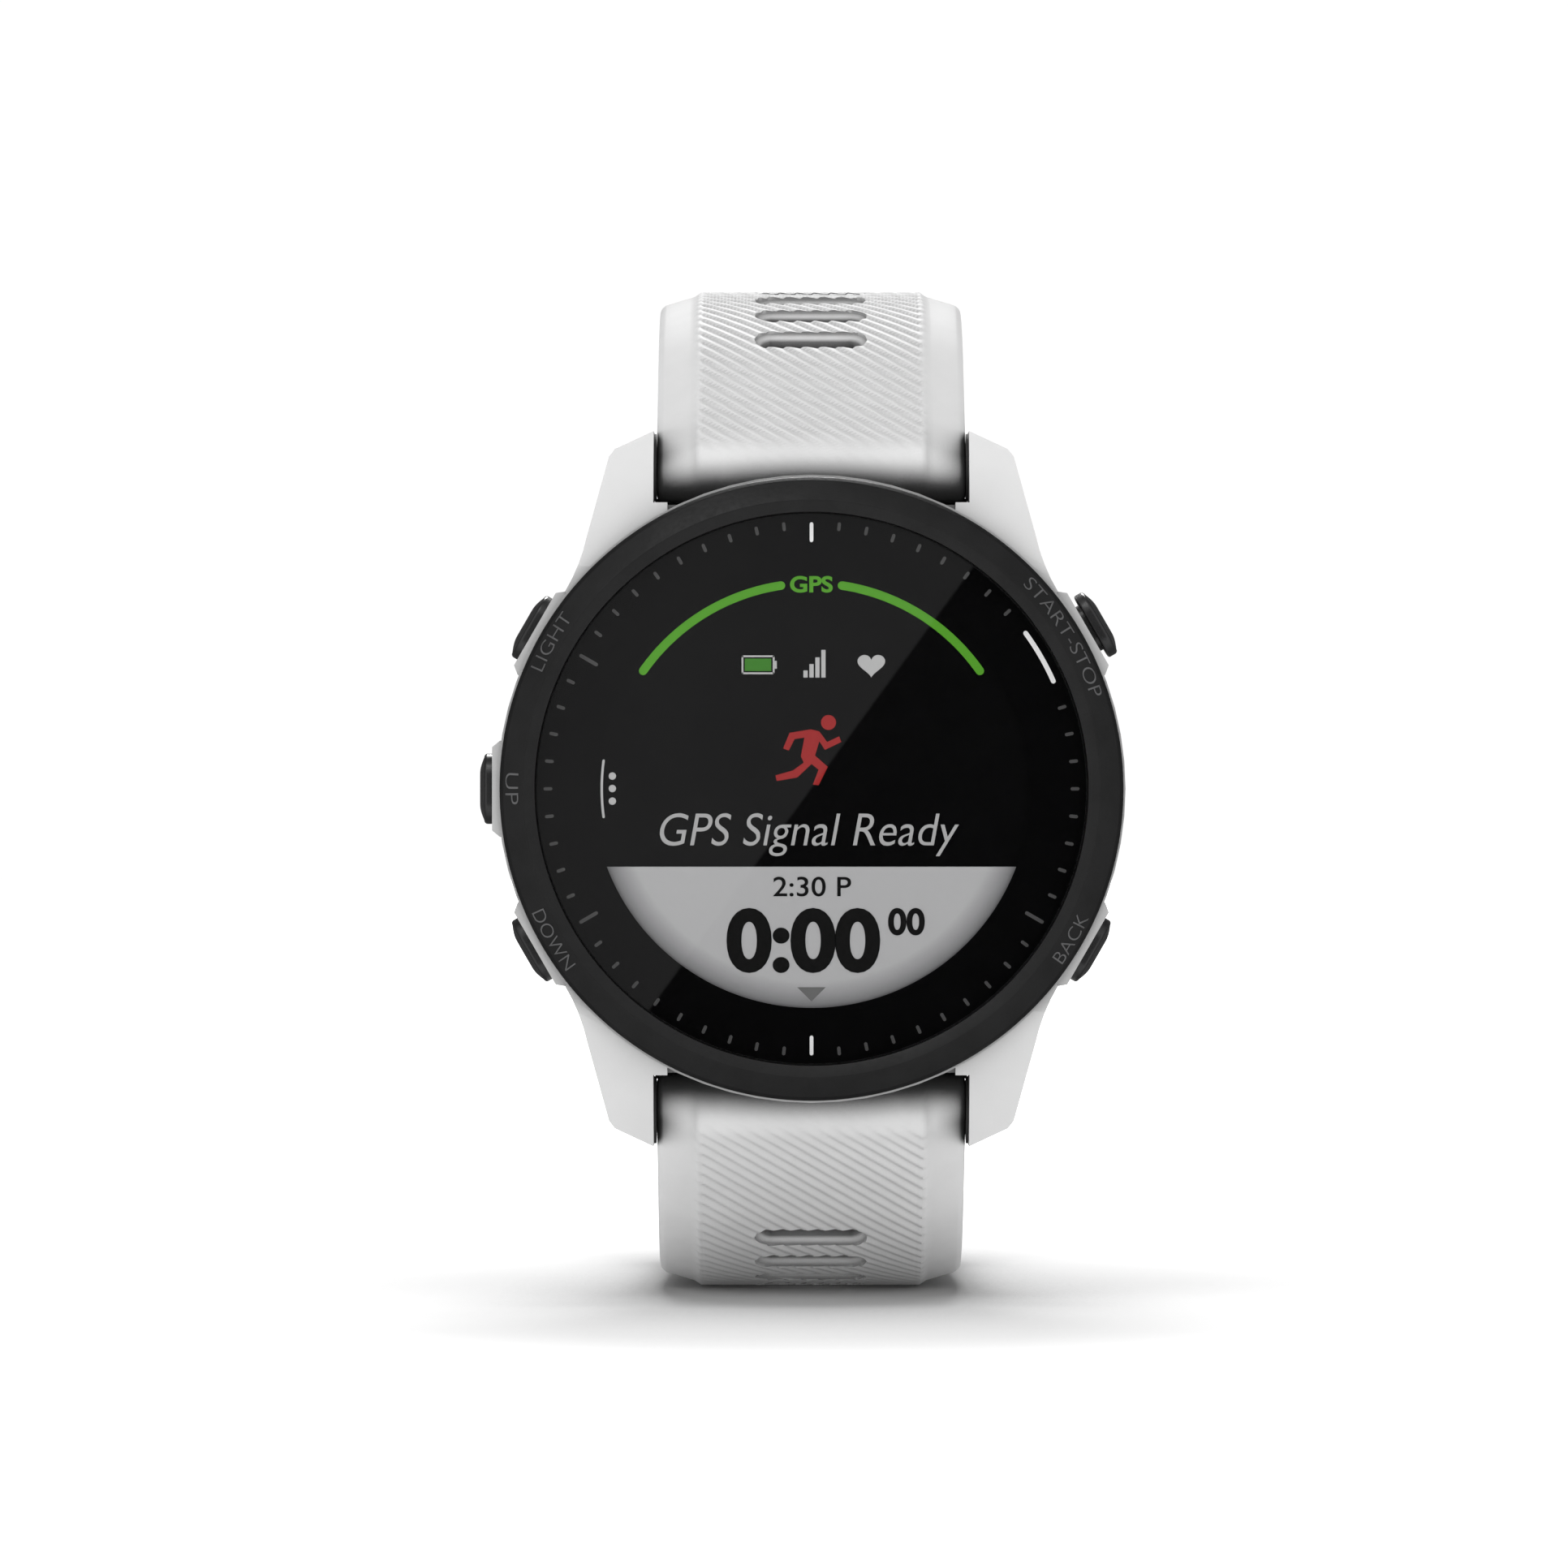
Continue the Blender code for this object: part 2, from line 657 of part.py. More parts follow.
def make_strap(axis, name, pieces, slots, finishes, taper_from=None):
    """One half of the strap, in the axes of the upper half, with its origin on the lug pin."""
    to_pin = Matrix.Translation((0, -PIN_Y, -PIN_Z))
    strap = solid(name, moved(strap_body(pieces, taper_from), to_pin), finishes["silicone"], axis)
    half = STRAP_WIDTH / 2
    section = strap_section(half, 0)[:4]
    right = [(KNUCKLE + v, x) for x, v in section]
    barrel = [(0, -half)] + [(r, -x) for r, x in reversed(right)] + right + [(0, half)]
    combine(strap, cutter(name + "_barrel", along_x(turned(barrel, 32)), axis), "UNION")
    combine(strap, cutter(name + "_slots", moved(slot_cutters(pieces, slots), to_pin), axis), "DIFFERENCE")
    turn = pin_frame()
    turn.translation = (0, 0, 0)
    groove = stack([(stadium(12.0, 2.1), -14.0), (stadium(12.0, 2.1), 14.0)])
    groove = moved(groove, Matrix.Translation((0, 0, -4.95)) @ Matrix.Rotation(math.radians(90), 4, "Y"))
    bed = box((15.8, 11.4, 6.5), (0, 3.9, -4.0))
    well = along_x(disc(1.75, -7.9, 7.9, SMALL_ROUND))
    for label, tool in (("groove", groove), ("bed", bed), ("well", well)):
        combine(strap, cutter(f"{name}_{label}", moved(tool, turn), axis), "DIFFERENCE")
    return strap


def make_latch(axis, side, finishes):
    """Steel hook over the lug pin, on a plate in the strap's bed, and the tab that slides on the plate."""
    turn = pin_frame()
    turn.translation = (0, 0, 0)
    hook = []
    for radius, sweep in ((1.5, range(10, 271, 20)), (PIN_RADIUS + 0.12, range(270, 9, -20))):
        hook += [(radius * math.cos(math.radians(a)), radius * math.sin(math.radians(a))) for a in sweep]
    plate = [(9.0, -1.5), (9.0, -1.05), (1.2, -1.05)]
    outline = plate + [(1.5 * math.cos(math.radians(a)), 1.5 * math.sin(math.radians(a))) for a in range(-20, 200, 20)]
    outline += [
        ((PIN_RADIUS + 0.12) * math.cos(math.radians(a)), (PIN_RADIUS + 0.12) * math.sin(math.radians(a)))
        for a in range(190, -61, -25)
    ]
    outline += [(0.9, -1.5)]
    body = prism(outline, -7.6, 7.6)
    upright = Matrix(((0, 0, 1), (1, 0, 0), (0, 1, 0))).to_4x4()
    solid("latch_hook_" + side, moved(body, turn @ upright), finishes["steel"], axis)
    tab = stack(
        [
            (chamfered(4.2, 2.3, 0.6), -2.7),
            (chamfered(4.5, 2.6, 0.6), -2.4),
            (chamfered(4.5, 2.6, 0.6), -1.6),
        ]
    )
    solid("latch_tab_" + side, moved(moved(tab, Matrix.Translation((0, 4.3, 0))), turn), finishes["steel"], axis)


def make_lug_pin(watch, side, sign, steel):
    pin = turned([(0, -12.7), (0.55, -12.7), (PIN_RADIUS, -12.2), (PIN_RADIUS, 12.2), (0.55, 12.7), (0, 12.7)], SMALL_ROUND)
    solid("lug_pin_" + side, along_x(pin), steel, watch, (0, sign * PIN_Y, PIN_Z))


# ---------------------------------------------------------------- buckle and keepers


def make_buckle(axis, finishes):
    """Pin in the strap's end, a frame and a two-pronged tongue that both turn on it."""
    strap_end = strap_frame(UPPER_PATH, strap_length(UPPER_PATH))
    middle = Matrix.Translation((0, -PIN_Y, -PIN_Z)) @ strap_end @ Matrix.Translation((0, 0, -STRAP_THICK / 2))
    hinge = axes_empty("axis_buckle", axis, middle.translation, middle.to_euler())

    strap = bpy.data.objects["strap_upper"]
    eye = along_x(disc(1.6, -10.6, 10.6, 20))
    combine(strap, cutter("buckle_eye", eye, hinge), "UNION")
    combine(strap, cutter("buckle_notch", box((6.2, 6.4, 6.4), (0, 0.4, 0)), hinge), "DIFFERENCE")
    bore = along_x(disc(BUCKLE_PIN_RADIUS + 0.08, -12, 12, SMALL_ROUND))
    combine(strap, cutter("buckle_bore", bore, hinge), "DIFFERENCE")

    pin = along_x(disc(BUCKLE_PIN_RADIUS, -12.6, 12.6, SMALL_ROUND))
    solid("buckle_pin", pin, finishes["steel"], hinge)

    outer = BUCKLE_INNER / 2 + BUCKLE_BAR
    frame = solid("buckle_frame", prism(chamfered(outer, 6.3, 1.6), -1.2, 1.2), finishes["steel"], hinge, (0, 4.5, 0))
    room = prism(chamfered(BUCKLE_INNER / 2, 6.0, 0.9), -3, 3)
    combine(frame, cutter("frame_room", room, hinge, (0, 2.5, 0)), "DIFFERENCE")
    combine(frame, cutter("frame_bore", along_x(disc(0.8, -14, 14, SMALL_ROUND)), hinge), "DIFFERENCE")

    tongue = solid("buckle_tongue", box((TONGUE_WIDTH, 10.6, 0.9), (0, 5.9, 1.75)), finishes["steel"], hinge)
    eyelet = along_x(disc(1.45, -TONGUE_WIDTH / 2, TONGUE_WIDTH / 2, 20))
    neck = box((TONGUE_WIDTH, 1.6, 1.6), (0, 1.2, 1.1))
    combine(tongue, cutter("tongue_eyelet", eyelet, hinge), "UNION")
    combine(tongue, cutter("tongue_neck", neck, hinge), "UNION")
    combine(tongue, cutter("tongue_split", box((1.7, 7.5, 4.0), (0, 8.6, 1.5)), hinge), "DIFFERENCE")
    combine(tongue, cutter("tongue_bore", along_x(disc(0.8, -5, 5, SMALL_ROUND)), hinge), "DIFFERENCE")


def keeper(length, room):
    """Loop round the strap, in the strap's axes: room is the free height above the strap."""
    half, wall = STRAP_WIDTH / 2 + 0.35, 1.1
    low, high = -STRAP_THICK - 0.42, room
    middle = (low + high) / 2
    tall = (high - low) / 2
    outer = chamfered(half + wall, tall + wall, 1.2)
    inner = chamfered(half, tall, 0.35)
    bm = bmesh.new()
    rows = []
    for outline, y in ((outer, -length / 2), (outer, length / 2), (inner, length / 2), (inner, -length / 2)):
        rows.append([bm.verts.new((x, y, z + middle)) for x, z in outline])
    for low_row, high_row in zip(rows, rows[1:] + rows[:1]):
        for i in range(len(low_row)):
            j = (i + 1) % len(low_row)
            bm.faces.new((low_row[i], low_row[j], high_row[j], high_row[i]))
    return bm


def make_keepers(axis, finishes):
    """The fixed keeper sits next to the buckle. The sliding one runs round the strap's wrist curve."""
    to_pin = Matrix.Translation((0, -PIN_Y, -PIN_Z))
    total = strap_length(UPPER_PATH)
    fixed = moved(keeper(5.0, 3.2), to_pin @ strap_frame(UPPER_PATH, total - 8.0))
    solid("keeper_fixed", fixed, finishes["silicone"], axis)
    crown, _ = strap_point(UPPER_PATH, strap_length(UPPER_PATH[:2]))
    centre = Vector((0, crown.x - CROWN_RADIUS - PIN_Y, crown.y - PIN_Z))
    pivot = axes_empty("axis_keeper_sliding", axis, centre)
    slid = to_pin @ strap_frame(UPPER_PATH, total - 16.0)
    solid("keeper_sliding", moved(keeper(6.0, 3.2), Matrix.Translation(-centre) @ slid), finishes["silicone"], pivot)


def main():
    clear_scene()
    finishes = {
        "white": material("white_polymer", (0.78, 0.78, 0.78), 0.45),
        "silicone": material("white_silicone", (0.76, 0.76, 0.76), 0.6),
        "black": material("black_polymer", (0.02, 0.02, 0.02), 0.45),
        "glass": material("dark_glass", (0.02, 0.02, 0.022), 0.05),
        "display": material("display_face", (0.01, 0.01, 0.012), 0.3),
        "diffuser": material("light_diffuser", (0.85, 0.87, 0.85), 0.4),
        "seal": material("black_rubber", (0.03, 0.03, 0.03), 0.7),
        "board": material("green_laminate", (0.02, 0.12, 0.06), 0.5),
        "foil": material("battery_foil", (0.6, 0.6, 0.62), 0.35, 0.9),
        "steel": material("stainless_steel", (0.55, 0.55, 0.57), 0.3, 1.0),
        "brass": material("brass", (0.7, 0.55, 0.25), 0.3, 1.0),
        "gold": material("gold_plate", (0.9, 0.7, 0.3), 0.25, 1.0),
        "led": material("lamp_resin", (0.75, 0.8, 0.7), 0.3),
    }
    watch = axes_empty("watch_axes", rotation=(math.radians(90), 0, 0))
    make_case_shell(watch, finishes["white"])
    make_front(watch, finishes)
    make_inner_chassis(watch, finishes["black"])
    make_electronics(watch, finishes)
    make_vibration_motor(watch, finishes)
    make_rear(watch, finishes)
    make_buttons(watch, finishes)
    for side, sign in (("upper", 1), ("lower", -1)):
        make_lug_pin(watch, side, sign, finishes["steel"])
    upper = axes_empty("axis_strap_upper", watch, (0, PIN_Y, PIN_Z))
    lower = axes_empty("axis_strap_lower", watch, (0, -PIN_Y, PIN_Z), (0, 0, math.pi))
    make_strap(upper, "strap_upper", UPPER_PATH, UPPER_SLOTS, finishes)
    make_strap(lower, "strap_lower", LOWER_PATH, LOWER_SLOTS, finishes, taper_from=30.0)
    make_latch(upper, "upper", finishes)
    make_latch(lower, "lower", finishes)
    make_buckle(upper, finishes)
    make_keepers(upper, finishes)


main()
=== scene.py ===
"""Looks of the GPS running watch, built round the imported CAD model.

Shapes are made in the watch's own axes, in millimetres: X points to 3 o'clock, Y to 12 o'clock and Z out of
the dial, with Z = 0 on the wrist face. TO_ROW turns them into the row frame, in metres.
"""

import math

import bmesh
import bpy
from mathutils import Matrix, Vector


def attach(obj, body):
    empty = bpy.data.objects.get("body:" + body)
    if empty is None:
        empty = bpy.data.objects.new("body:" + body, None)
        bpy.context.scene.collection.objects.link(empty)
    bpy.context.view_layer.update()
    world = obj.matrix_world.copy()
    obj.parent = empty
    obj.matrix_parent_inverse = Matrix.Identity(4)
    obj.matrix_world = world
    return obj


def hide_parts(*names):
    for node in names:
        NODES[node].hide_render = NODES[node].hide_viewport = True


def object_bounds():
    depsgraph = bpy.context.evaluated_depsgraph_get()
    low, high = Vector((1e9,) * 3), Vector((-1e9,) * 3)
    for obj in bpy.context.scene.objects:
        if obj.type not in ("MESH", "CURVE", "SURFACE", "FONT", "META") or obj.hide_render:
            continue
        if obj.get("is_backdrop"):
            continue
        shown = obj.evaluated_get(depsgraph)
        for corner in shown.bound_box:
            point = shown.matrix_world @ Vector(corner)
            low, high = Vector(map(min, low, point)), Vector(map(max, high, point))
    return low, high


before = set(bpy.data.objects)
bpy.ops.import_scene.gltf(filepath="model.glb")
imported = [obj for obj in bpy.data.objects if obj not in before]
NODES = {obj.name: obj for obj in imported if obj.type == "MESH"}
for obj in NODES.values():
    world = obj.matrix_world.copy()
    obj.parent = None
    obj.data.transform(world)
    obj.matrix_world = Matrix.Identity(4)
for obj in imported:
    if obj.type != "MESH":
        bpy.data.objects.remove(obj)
CAD_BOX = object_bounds()

MM = 0.001
TO_ROW = Matrix(((MM, 0, 0, 0), (0, 0, -MM, 0), (0, MM, 0, 0), (0, 0, 0, 1)))

# Bezel
BEZEL_RADIUS = 22.0
RIM_RADIUS, RIM_Z = 21.75, 12.8
CREST_RADIUS, CREST_Z = 20.35, 13.7
LABEL_RADIUS = 21.2
LABEL_MIDDLE = 21.12
LABEL_HALF = 0.46

# Lens, printed dial and screen
LENS_RADIUS = 19.4
LENS_FRONT = 13.35
PANE_BACK = 12.24
PRINT_TOP = 12.19
PRINT_THICK = 0.03
PRINT_LAYER = (PRINT_TOP - 0.01, PRINT_TOP + 0.012)
TICK_OUTER = 18.9
SHORT_TICK = 0.63
LONG_TICK = 1.5
TICK_WIDTH = 0.26
DISPLAY_RADIUS = 15.45
SCREEN_TOP = 11.95
SCREEN_BASE = SCREEN_TOP - 0.04
SCREEN_LAYER = (SCREEN_TOP - 0.005, SCREEN_TOP)
FIELD_RADIUS = 15.6
FIELD_TOP = -5.5

# Buttons, by their place round the dial in degrees
BUTTONS = {"start": 30, "back": -30, "light": 150, "up": 180, "down": 210}
GUARD_RADIUS = 22.6
BUTTON_Z = 7.6
CAP_LENGTH = 5.0
CAP_WIDTH = 3.2
STEM = 1.8

# Strap
PIN_Y, PIN_Z = 22.9, 4.6
PIN_HOLE = 0.82
KNUCKLE = 2.5
SHOULDER_ANGLE = 50
SHOULDER_LENGTH = 8.65
CROWN_RADIUS = 26.5
STRAP_THICK = 2.7
STRAP_HALF = 11.0
EDGE_ROUND = 0.5
UNDER_ROUND = 0.5
TIP_ROUND = 0.8
TIP_LENGTH = 9.0
TAPER = 0.9
TAPER_LENGTH = 40.0
RIB_PITCH = 1.17
RIB_SLANT = 0.93
RIB_DEPTH = 0.2
RIB_RISE = 0.17
OUTER_STEP = 0.11
INNER_STEP = 0.9
INNER_START = 2.49
SLOT_FIRST = 14.5
SLOT_PITCH = 4.1
UPPER_PATH = [("line", SHOULDER_LENGTH, 0), ("arc", CROWN_RADIUS, 130), ("line", 5.0, 0)]
LOWER_PATH = [
    ("line", SHOULDER_LENGTH, 0),
    ("arc", CROWN_RADIUS, 40),
    ("line", 20.0, 0),
    ("arc", 32.0, 78),
    ("line", 19.0, 0),
]

# Stage, in metres. The floor is under the strap, and the camera looks level along +Y.
FLOOR = -36.58 * MM
FLOOR_RADIUS = 2.9
DOME_RADIUS = 3.0
EYE = Vector((-1.94, -663.7, 0.34)) * MM
LENS_LENGTH = 212.1
NEAR_GLOW = 0.78
ROOM_LIGHT = (0.12, 0.8)
KEY = 0.9
LOW = 0.7
REAR = 3.6


# ---------------------------------------------------------------- materials


# Reach, in millimetres, of the occlusion that paints shade into colours
PAINTED_SHADE_REACH = 5.0
CELLS_PER_MM = 7.8


def new_material(name):
    made = bpy.data.materials.new(name)
    made.use_nodes = True
    return made, made.node_tree, made.node_tree.nodes["Principled BSDF"]


def noise_node(tree, scale, detail=4.0, stretch=(1, 1, 1)):
    """Fac of a noise in the row frame. Scale is in features per millimetre."""
    coords = tree.nodes.new("ShaderNodeTexCoord")
    mapping = tree.nodes.new("ShaderNodeMapping")
    mapping.inputs["Scale"].default_value = [scale / MM * s for s in stretch]
    made = tree.nodes.new("ShaderNodeTexNoise")
    made.inputs["Scale"].default_value = 1.0
    made.inputs["Detail"].default_value = detail
    tree.links.new(coords.outputs["Object"], mapping.inputs["Vector"])
    tree.links.new(mapping.outputs["Vector"], made.inputs["Vector"])
    return made.outputs["Fac"]


def map_range(tree, value, low, high, from_low=0.3, from_high=0.7):
    """Takes from_low..from_high, which is where noise mostly lies, to low..high."""
    made = tree.nodes.new("ShaderNodeMapRange")
    limits = {"From Min": from_low, "From Max": from_high, "To Min": low, "To Max": high}
    for socket, number in limits.items():
        made.inputs[socket].default_value = number
    tree.links.new(value, made.inputs["Value"])
    return made.outputs["Result"]


def mix_colours(tree, factor, first, second):
    made = tree.nodes.new("ShaderNodeMix")
    made.data_type = "RGBA"
    made.inputs["A"].default_value = (*first, 1)
    made.inputs["B"].default_value = (*second, 1)
    tree.links.new(factor, made.inputs["Factor"])
    return made.outputs["Result"]


def combined(tree, operation, first, second):
    """Result of a Math node on two sockets."""
    made = tree.nodes.new("ShaderNodeMath")
    made.operation = operation
    tree.links.new(first, made.inputs[0])
    tree.links.new(second, made.inputs[1])
    return made.outputs["Value"]


def occlusion(tree, distance, own):
    """How enclosed a point is, from 0 to 1, by its own mesh alone or by everything within the distance."""
    made = tree.nodes.new("ShaderNodeAmbientOcclusion")
    made.samples = 8
    made.only_local = own
    made.inputs["Distance"].default_value = distance * MM
    return map_range(tree, made.outputs["AO"], 1, 0, 0.35, 0.92)


def painted_nook_shade(tree, tint, painted_shade):
    """Paints shade into a colour: multiplies it down where it is enclosed, so nooks and slots are darker than
    the light alone makes them. What stands round it counts less towards the floor.
    """
    close = occlusion(tree, PAINTED_SHADE_REACH, True)
    wide = occlusion(tree, PAINTED_SHADE_REACH, False)
    coords = tree.nodes.new("ShaderNodeTexCoord")
    split = tree.nodes.new("ShaderNodeSeparateXYZ")
    tree.links.new(coords.outputs["Object"], split.inputs["Vector"])
    off_floor = map_range(tree, split.outputs["Z"], 0, 1, -31 * MM, -25 * MM)
    painted_shade_mask = combined(tree, "MAXIMUM", close, combined(tree, "MULTIPLY", wide, off_floor))
    shade = tree.nodes.new("ShaderNodeMix")
    shade.data_type = "RGBA"
    shade.blend_type = "MULTIPLY"
    shade.inputs["B"].default_value = (1 - painted_shade, 1 - painted_shade, 1 - painted_shade, 1)
    tree.links.new(painted_shade_mask, shade.inputs["Factor"])
    tree.links.new(tint, shade.inputs["A"])
    return shade.outputs["Result"]


def surface(
    name,
    colour,
    roughness,
    metallic=0.0,
    mottle=0.06,
    mottle_scale=0.4,
    grain_scale=4.0,
    grain_depth=0.01,
    rough_spread=0.06,
    stretch=(1, 1, 1),
    coat=0.0,
    specular=0.5,
    painted_shade=0.0,
):
    """A moulded, rubber or metal finish. Its colour drifts slowly; a fine grain moves roughness and normal.

    The last argument is the share of the colour that is taken away as painted shade in nooks, which are told
    by occlusion.
    """
    made, tree, shader = new_material(name)
    drift = noise_node(tree, mottle_scale, 3.0)
    low = tuple(c * (1 - mottle) for c in colour)
    high = tuple(min(1.0, c * (1 + mottle)) for c in colour)
    tint = mix_colours(tree, map_range(tree, drift, 0, 1), low, high)
    # painted shade: the colour is darkened where the point is enclosed
    if painted_shade:
        tint = painted_nook_shade(tree, tint, painted_shade)
    tree.links.new(tint, shader.inputs["Base Color"])
    fine = noise_node(tree, grain_scale, 5.0, stretch)
    rough = map_range(tree, fine, max(0.02, roughness - rough_spread), min(1.0, roughness + rough_spread))
    tree.links.new(rough, shader.inputs["Roughness"])
    bump = tree.nodes.new("ShaderNodeBump")
    bump.inputs["Strength"].default_value = 1.0
    bump.inputs["Distance"].default_value = grain_depth * MM
    tree.links.new(fine, bump.inputs["Height"])
    tree.links.new(bump.outputs["Normal"], shader.inputs["Normal"])
    shader.inputs["Metallic"].default_value = metallic
    shader.inputs["Specular IOR Level"].default_value = specular
    shader.inputs["Coat Weight"].default_value = coat
    shader.inputs["Coat Roughness"].default_value = 0.15
    return made


def clear_glass(name, clearness):
    """Glass one can see through: a faintly smeared mirror, stronger at a slant, over a clear pane."""
    made, tree, shader = new_material(name)
    shader.inputs["Metallic"].default_value = 1.0
    shader.inputs["Roughness"].default_value = 0.0
    smear = map_range(tree, noise_node(tree, 0.15, 3.0), 0, 1)
    tree.links.new(mix_colours(tree, smear, (0.9, 0.9, 0.91), (1, 1, 1)), shader.inputs["Base Color"])
    pane = tree.nodes.new("ShaderNodeBsdfTransparent")
    pane.inputs["Color"].default_value = (clearness, clearness, clearness, 1)
    facing = tree.nodes.new("ShaderNodeLayerWeight")
    facing.inputs["Blend"].default_value = 0.5
    steep = tree.nodes.new("ShaderNodeMath")
    steep.operation = "POWER"
    steep.inputs[1].default_value = 5.0
    tree.links.new(facing.outputs["Facing"], steep.inputs[0])
    mix = tree.nodes.new("ShaderNodeMixShader")
    tree.links.new(map_range(tree, steep.outputs["Value"], 0.04, 1.0, 0.0, 1.0), mix.inputs["Fac"])
    tree.links.new(pane.outputs["BSDF"], mix.inputs[1])
    tree.links.new(shader.outputs["BSDF"], mix.inputs[2])
    tree.links.new(mix.outputs["Shader"], tree.nodes["Material Output"].inputs["Surface"])
    return made


def ink(name, colour):
    """Printed or displayed colour, broken up by the display's fine cells."""
    made, tree, shader = new_material(name)
    coords = tree.nodes.new("ShaderNodeTexCoord")
    cells = tree.nodes.new("ShaderNodeTexVoronoi")
    cells.distance = "CHEBYCHEV"
    cells.inputs["Scale"].default_value = CELLS_PER_MM / MM
    cells.inputs["Randomness"].default_value = 0.0
    tree.links.new(coords.outputs["Object"], cells.inputs["Vector"])
    fade = map_range(tree, cells.outputs["Distance"], 0, 1, 0.3, 0.55)
    dark = tuple(c * 0.88 for c in colour)
    tree.links.new(mix_colours(tree, fade, colour, dark), shader.inputs["Base Color"])
    shader.inputs["Roughness"].default_value = 0.6
    shader.inputs["Specular IOR Level"].default_value = 0.1
    return made


def grey_panel(name):
    """The display's lit lower field, which darkens towards the round edge."""
    made, tree, shader = new_material(name)
    coords = tree.nodes.new("ShaderNodeTexCoord")
    flat = tree.nodes.new("ShaderNodeVectorMath")
    flat.operation = "MULTIPLY"
    flat.inputs[1].default_value = (1, 0, 1)
    length = tree.nodes.new("ShaderNodeVectorMath")
    length.operation = "LENGTH"
    tree.links.new(coords.outputs["Object"], flat.inputs[0])
    tree.links.new(flat.outputs["Vector"], length.inputs[0])
    fade = map_range(tree, length.outputs["Value"], 0, 1, (FIELD_RADIUS - 2.0) * MM, FIELD_RADIUS * MM)
    colour = mix_colours(tree, fade, (0.44, 0.44, 0.445), (0.15, 0.15, 0.155))
    tree.links.new(colour, shader.inputs["Base Color"])
    grain = noise_node(tree, 8.0, 2.0)
    tree.links.new(map_range(tree, grain, 0.5, 0.6), shader.inputs["Roughness"])
    shader.inputs["Specular IOR Level"].default_value = 0.1
    return made


# The white shell carries painted shade in its nooks, set by its last argument.
WHITE = surface(
    "white_polymer_finish",
    (0.67, 0.67, 0.67),
    0.42,
    mottle=0.015,
    grain_scale=7,
    grain_depth=0.004,
    painted_shade=0.6,
)
# The silicone strap carries strong painted shade in its nooks and slots, set by its last argument.
SILICONE = surface(
    "silicone_finish", (0.80, 0.80, 0.80), 0.55, mottle=0.02, grain_scale=9, grain_depth=0.005, painted_shade=0.95
)
BEZEL_BLACK = surface(
    "bezel_finish",
    (0.008, 0.008, 0.0082),
    0.42,
    mottle=0.2,
    grain_scale=3.2,
    grain_depth=0.012,
    rough_spread=0.08,
    specular=0.28,
)
LABEL_BLACK = surface("bezel_label_finish", (0.085, 0.085, 0.087), 0.38, grain_scale=8, grain_depth=0.004)
BUTTON_BLACK = surface(
    "button_finish", (0.012, 0.012, 0.0125), 0.33, mottle=0.15, grain_scale=12, grain_depth=0.006, coat=0.2
)
BLACK = surface(
    "black_polymer_finish", (0.016, 0.016, 0.017), 0.45, mottle=0.2, grain_scale=5, grain_depth=0.015
)
RUBBER = surface("seal_finish", (0.03, 0.03, 0.03), 0.7, mottle=0.2, grain_scale=6, grain_depth=0.01)
STEEL = surface(
    "brushed_steel_finish",
    (0.62, 0.62, 0.63),
    0.26,
    1.0,
    grain_scale=3,
    grain_depth=0.004,
    stretch=(0.15, 6, 6),
)
TIN = surface("tinned_steel_finish", (0.7, 0.7, 0.7), 0.3, 1.0, mottle=0.08, grain_scale=5, grain_depth=0.004)
BRASS = surface("brass_finish", (0.72, 0.55, 0.27), 0.3, 1.0, mottle=0.1, grain_scale=6, grain_depth=0.004)
GOLD = surface("gold_finish", (0.95, 0.72, 0.32), 0.22, 1.0, mottle=0.05, grain_scale=8, grain_depth=0.002)
BOARD = surface("laminate_finish", (0.015, 0.1, 0.05), 0.4, mottle=0.3, mottle_scale=1.2, grain_scale=6)
FOIL = surface("foil_finish", (0.66, 0.66, 0.68), 0.32, 0.9, mottle=0.08, grain_scale=1.2, grain_depth=0.03)
DIFFUSER = surface("diffuser_finish", (0.82, 0.84, 0.82), 0.4, grain_scale=8, grain_depth=0.004)
LAMP = surface("lamp_finish", (0.62, 0.8, 0.55), 0.2, mottle=0.15, mottle_scale=2, coat=0.5)
RED_LAMP = surface("red_lamp_finish", (0.55, 0.08, 0.05), 0.2, mottle=0.15, mottle_scale=2, coat=0.5)
DIE = surface("photodiode_finish", (0.02, 0.025, 0.05), 0.15, mottle=0.3, mottle_scale=3, coat=0.5)
PRINT_BLACK = surface(
    "print_black_finish", (0.0022, 0.0022, 0.0024), 0.6, mottle=0.1, grain_depth=0.001, specular=0.01
)
SCREEN_BLACK = surface(
    "screen_black_finish", (0.0028, 0.0028, 0.003), 0.6, mottle=0.1, grain_depth=0.001, specular=0.01
)
GREY_FIELD = grey_panel("screen_grey_finish")
TICK_GREY = ink("tick_grey_finish", (0.075, 0.075, 0.075))
TICK_WHITE = ink("tick_white_finish", (0.85, 0.85, 0.85))
ICON_GREY = ink("icon_grey_finish", (0.48, 0.48, 0.48))
TEXT_GREY = ink("text_grey_finish", (0.42, 0.42, 0.42))
TEXT_DARK = ink("text_dark_finish", (0.006, 0.006, 0.006))
MARK_GREY = ink("mark_grey_finish", (0.15, 0.15, 0.15))
GREEN = ink("green_finish", (0.09, 0.33, 0.025))
GREEN_DARK = ink("green_cell_finish", (0.05, 0.21, 0.025))
RED = ink("red_finish", (0.34, 0.025, 0.025))
LENS_GLASS = clear_glass("lens_glass", 0.97)
SENSOR_GLASS = clear_glass("sensor_glass", 0.9)


# ---------------------------------------------------------------- meshes


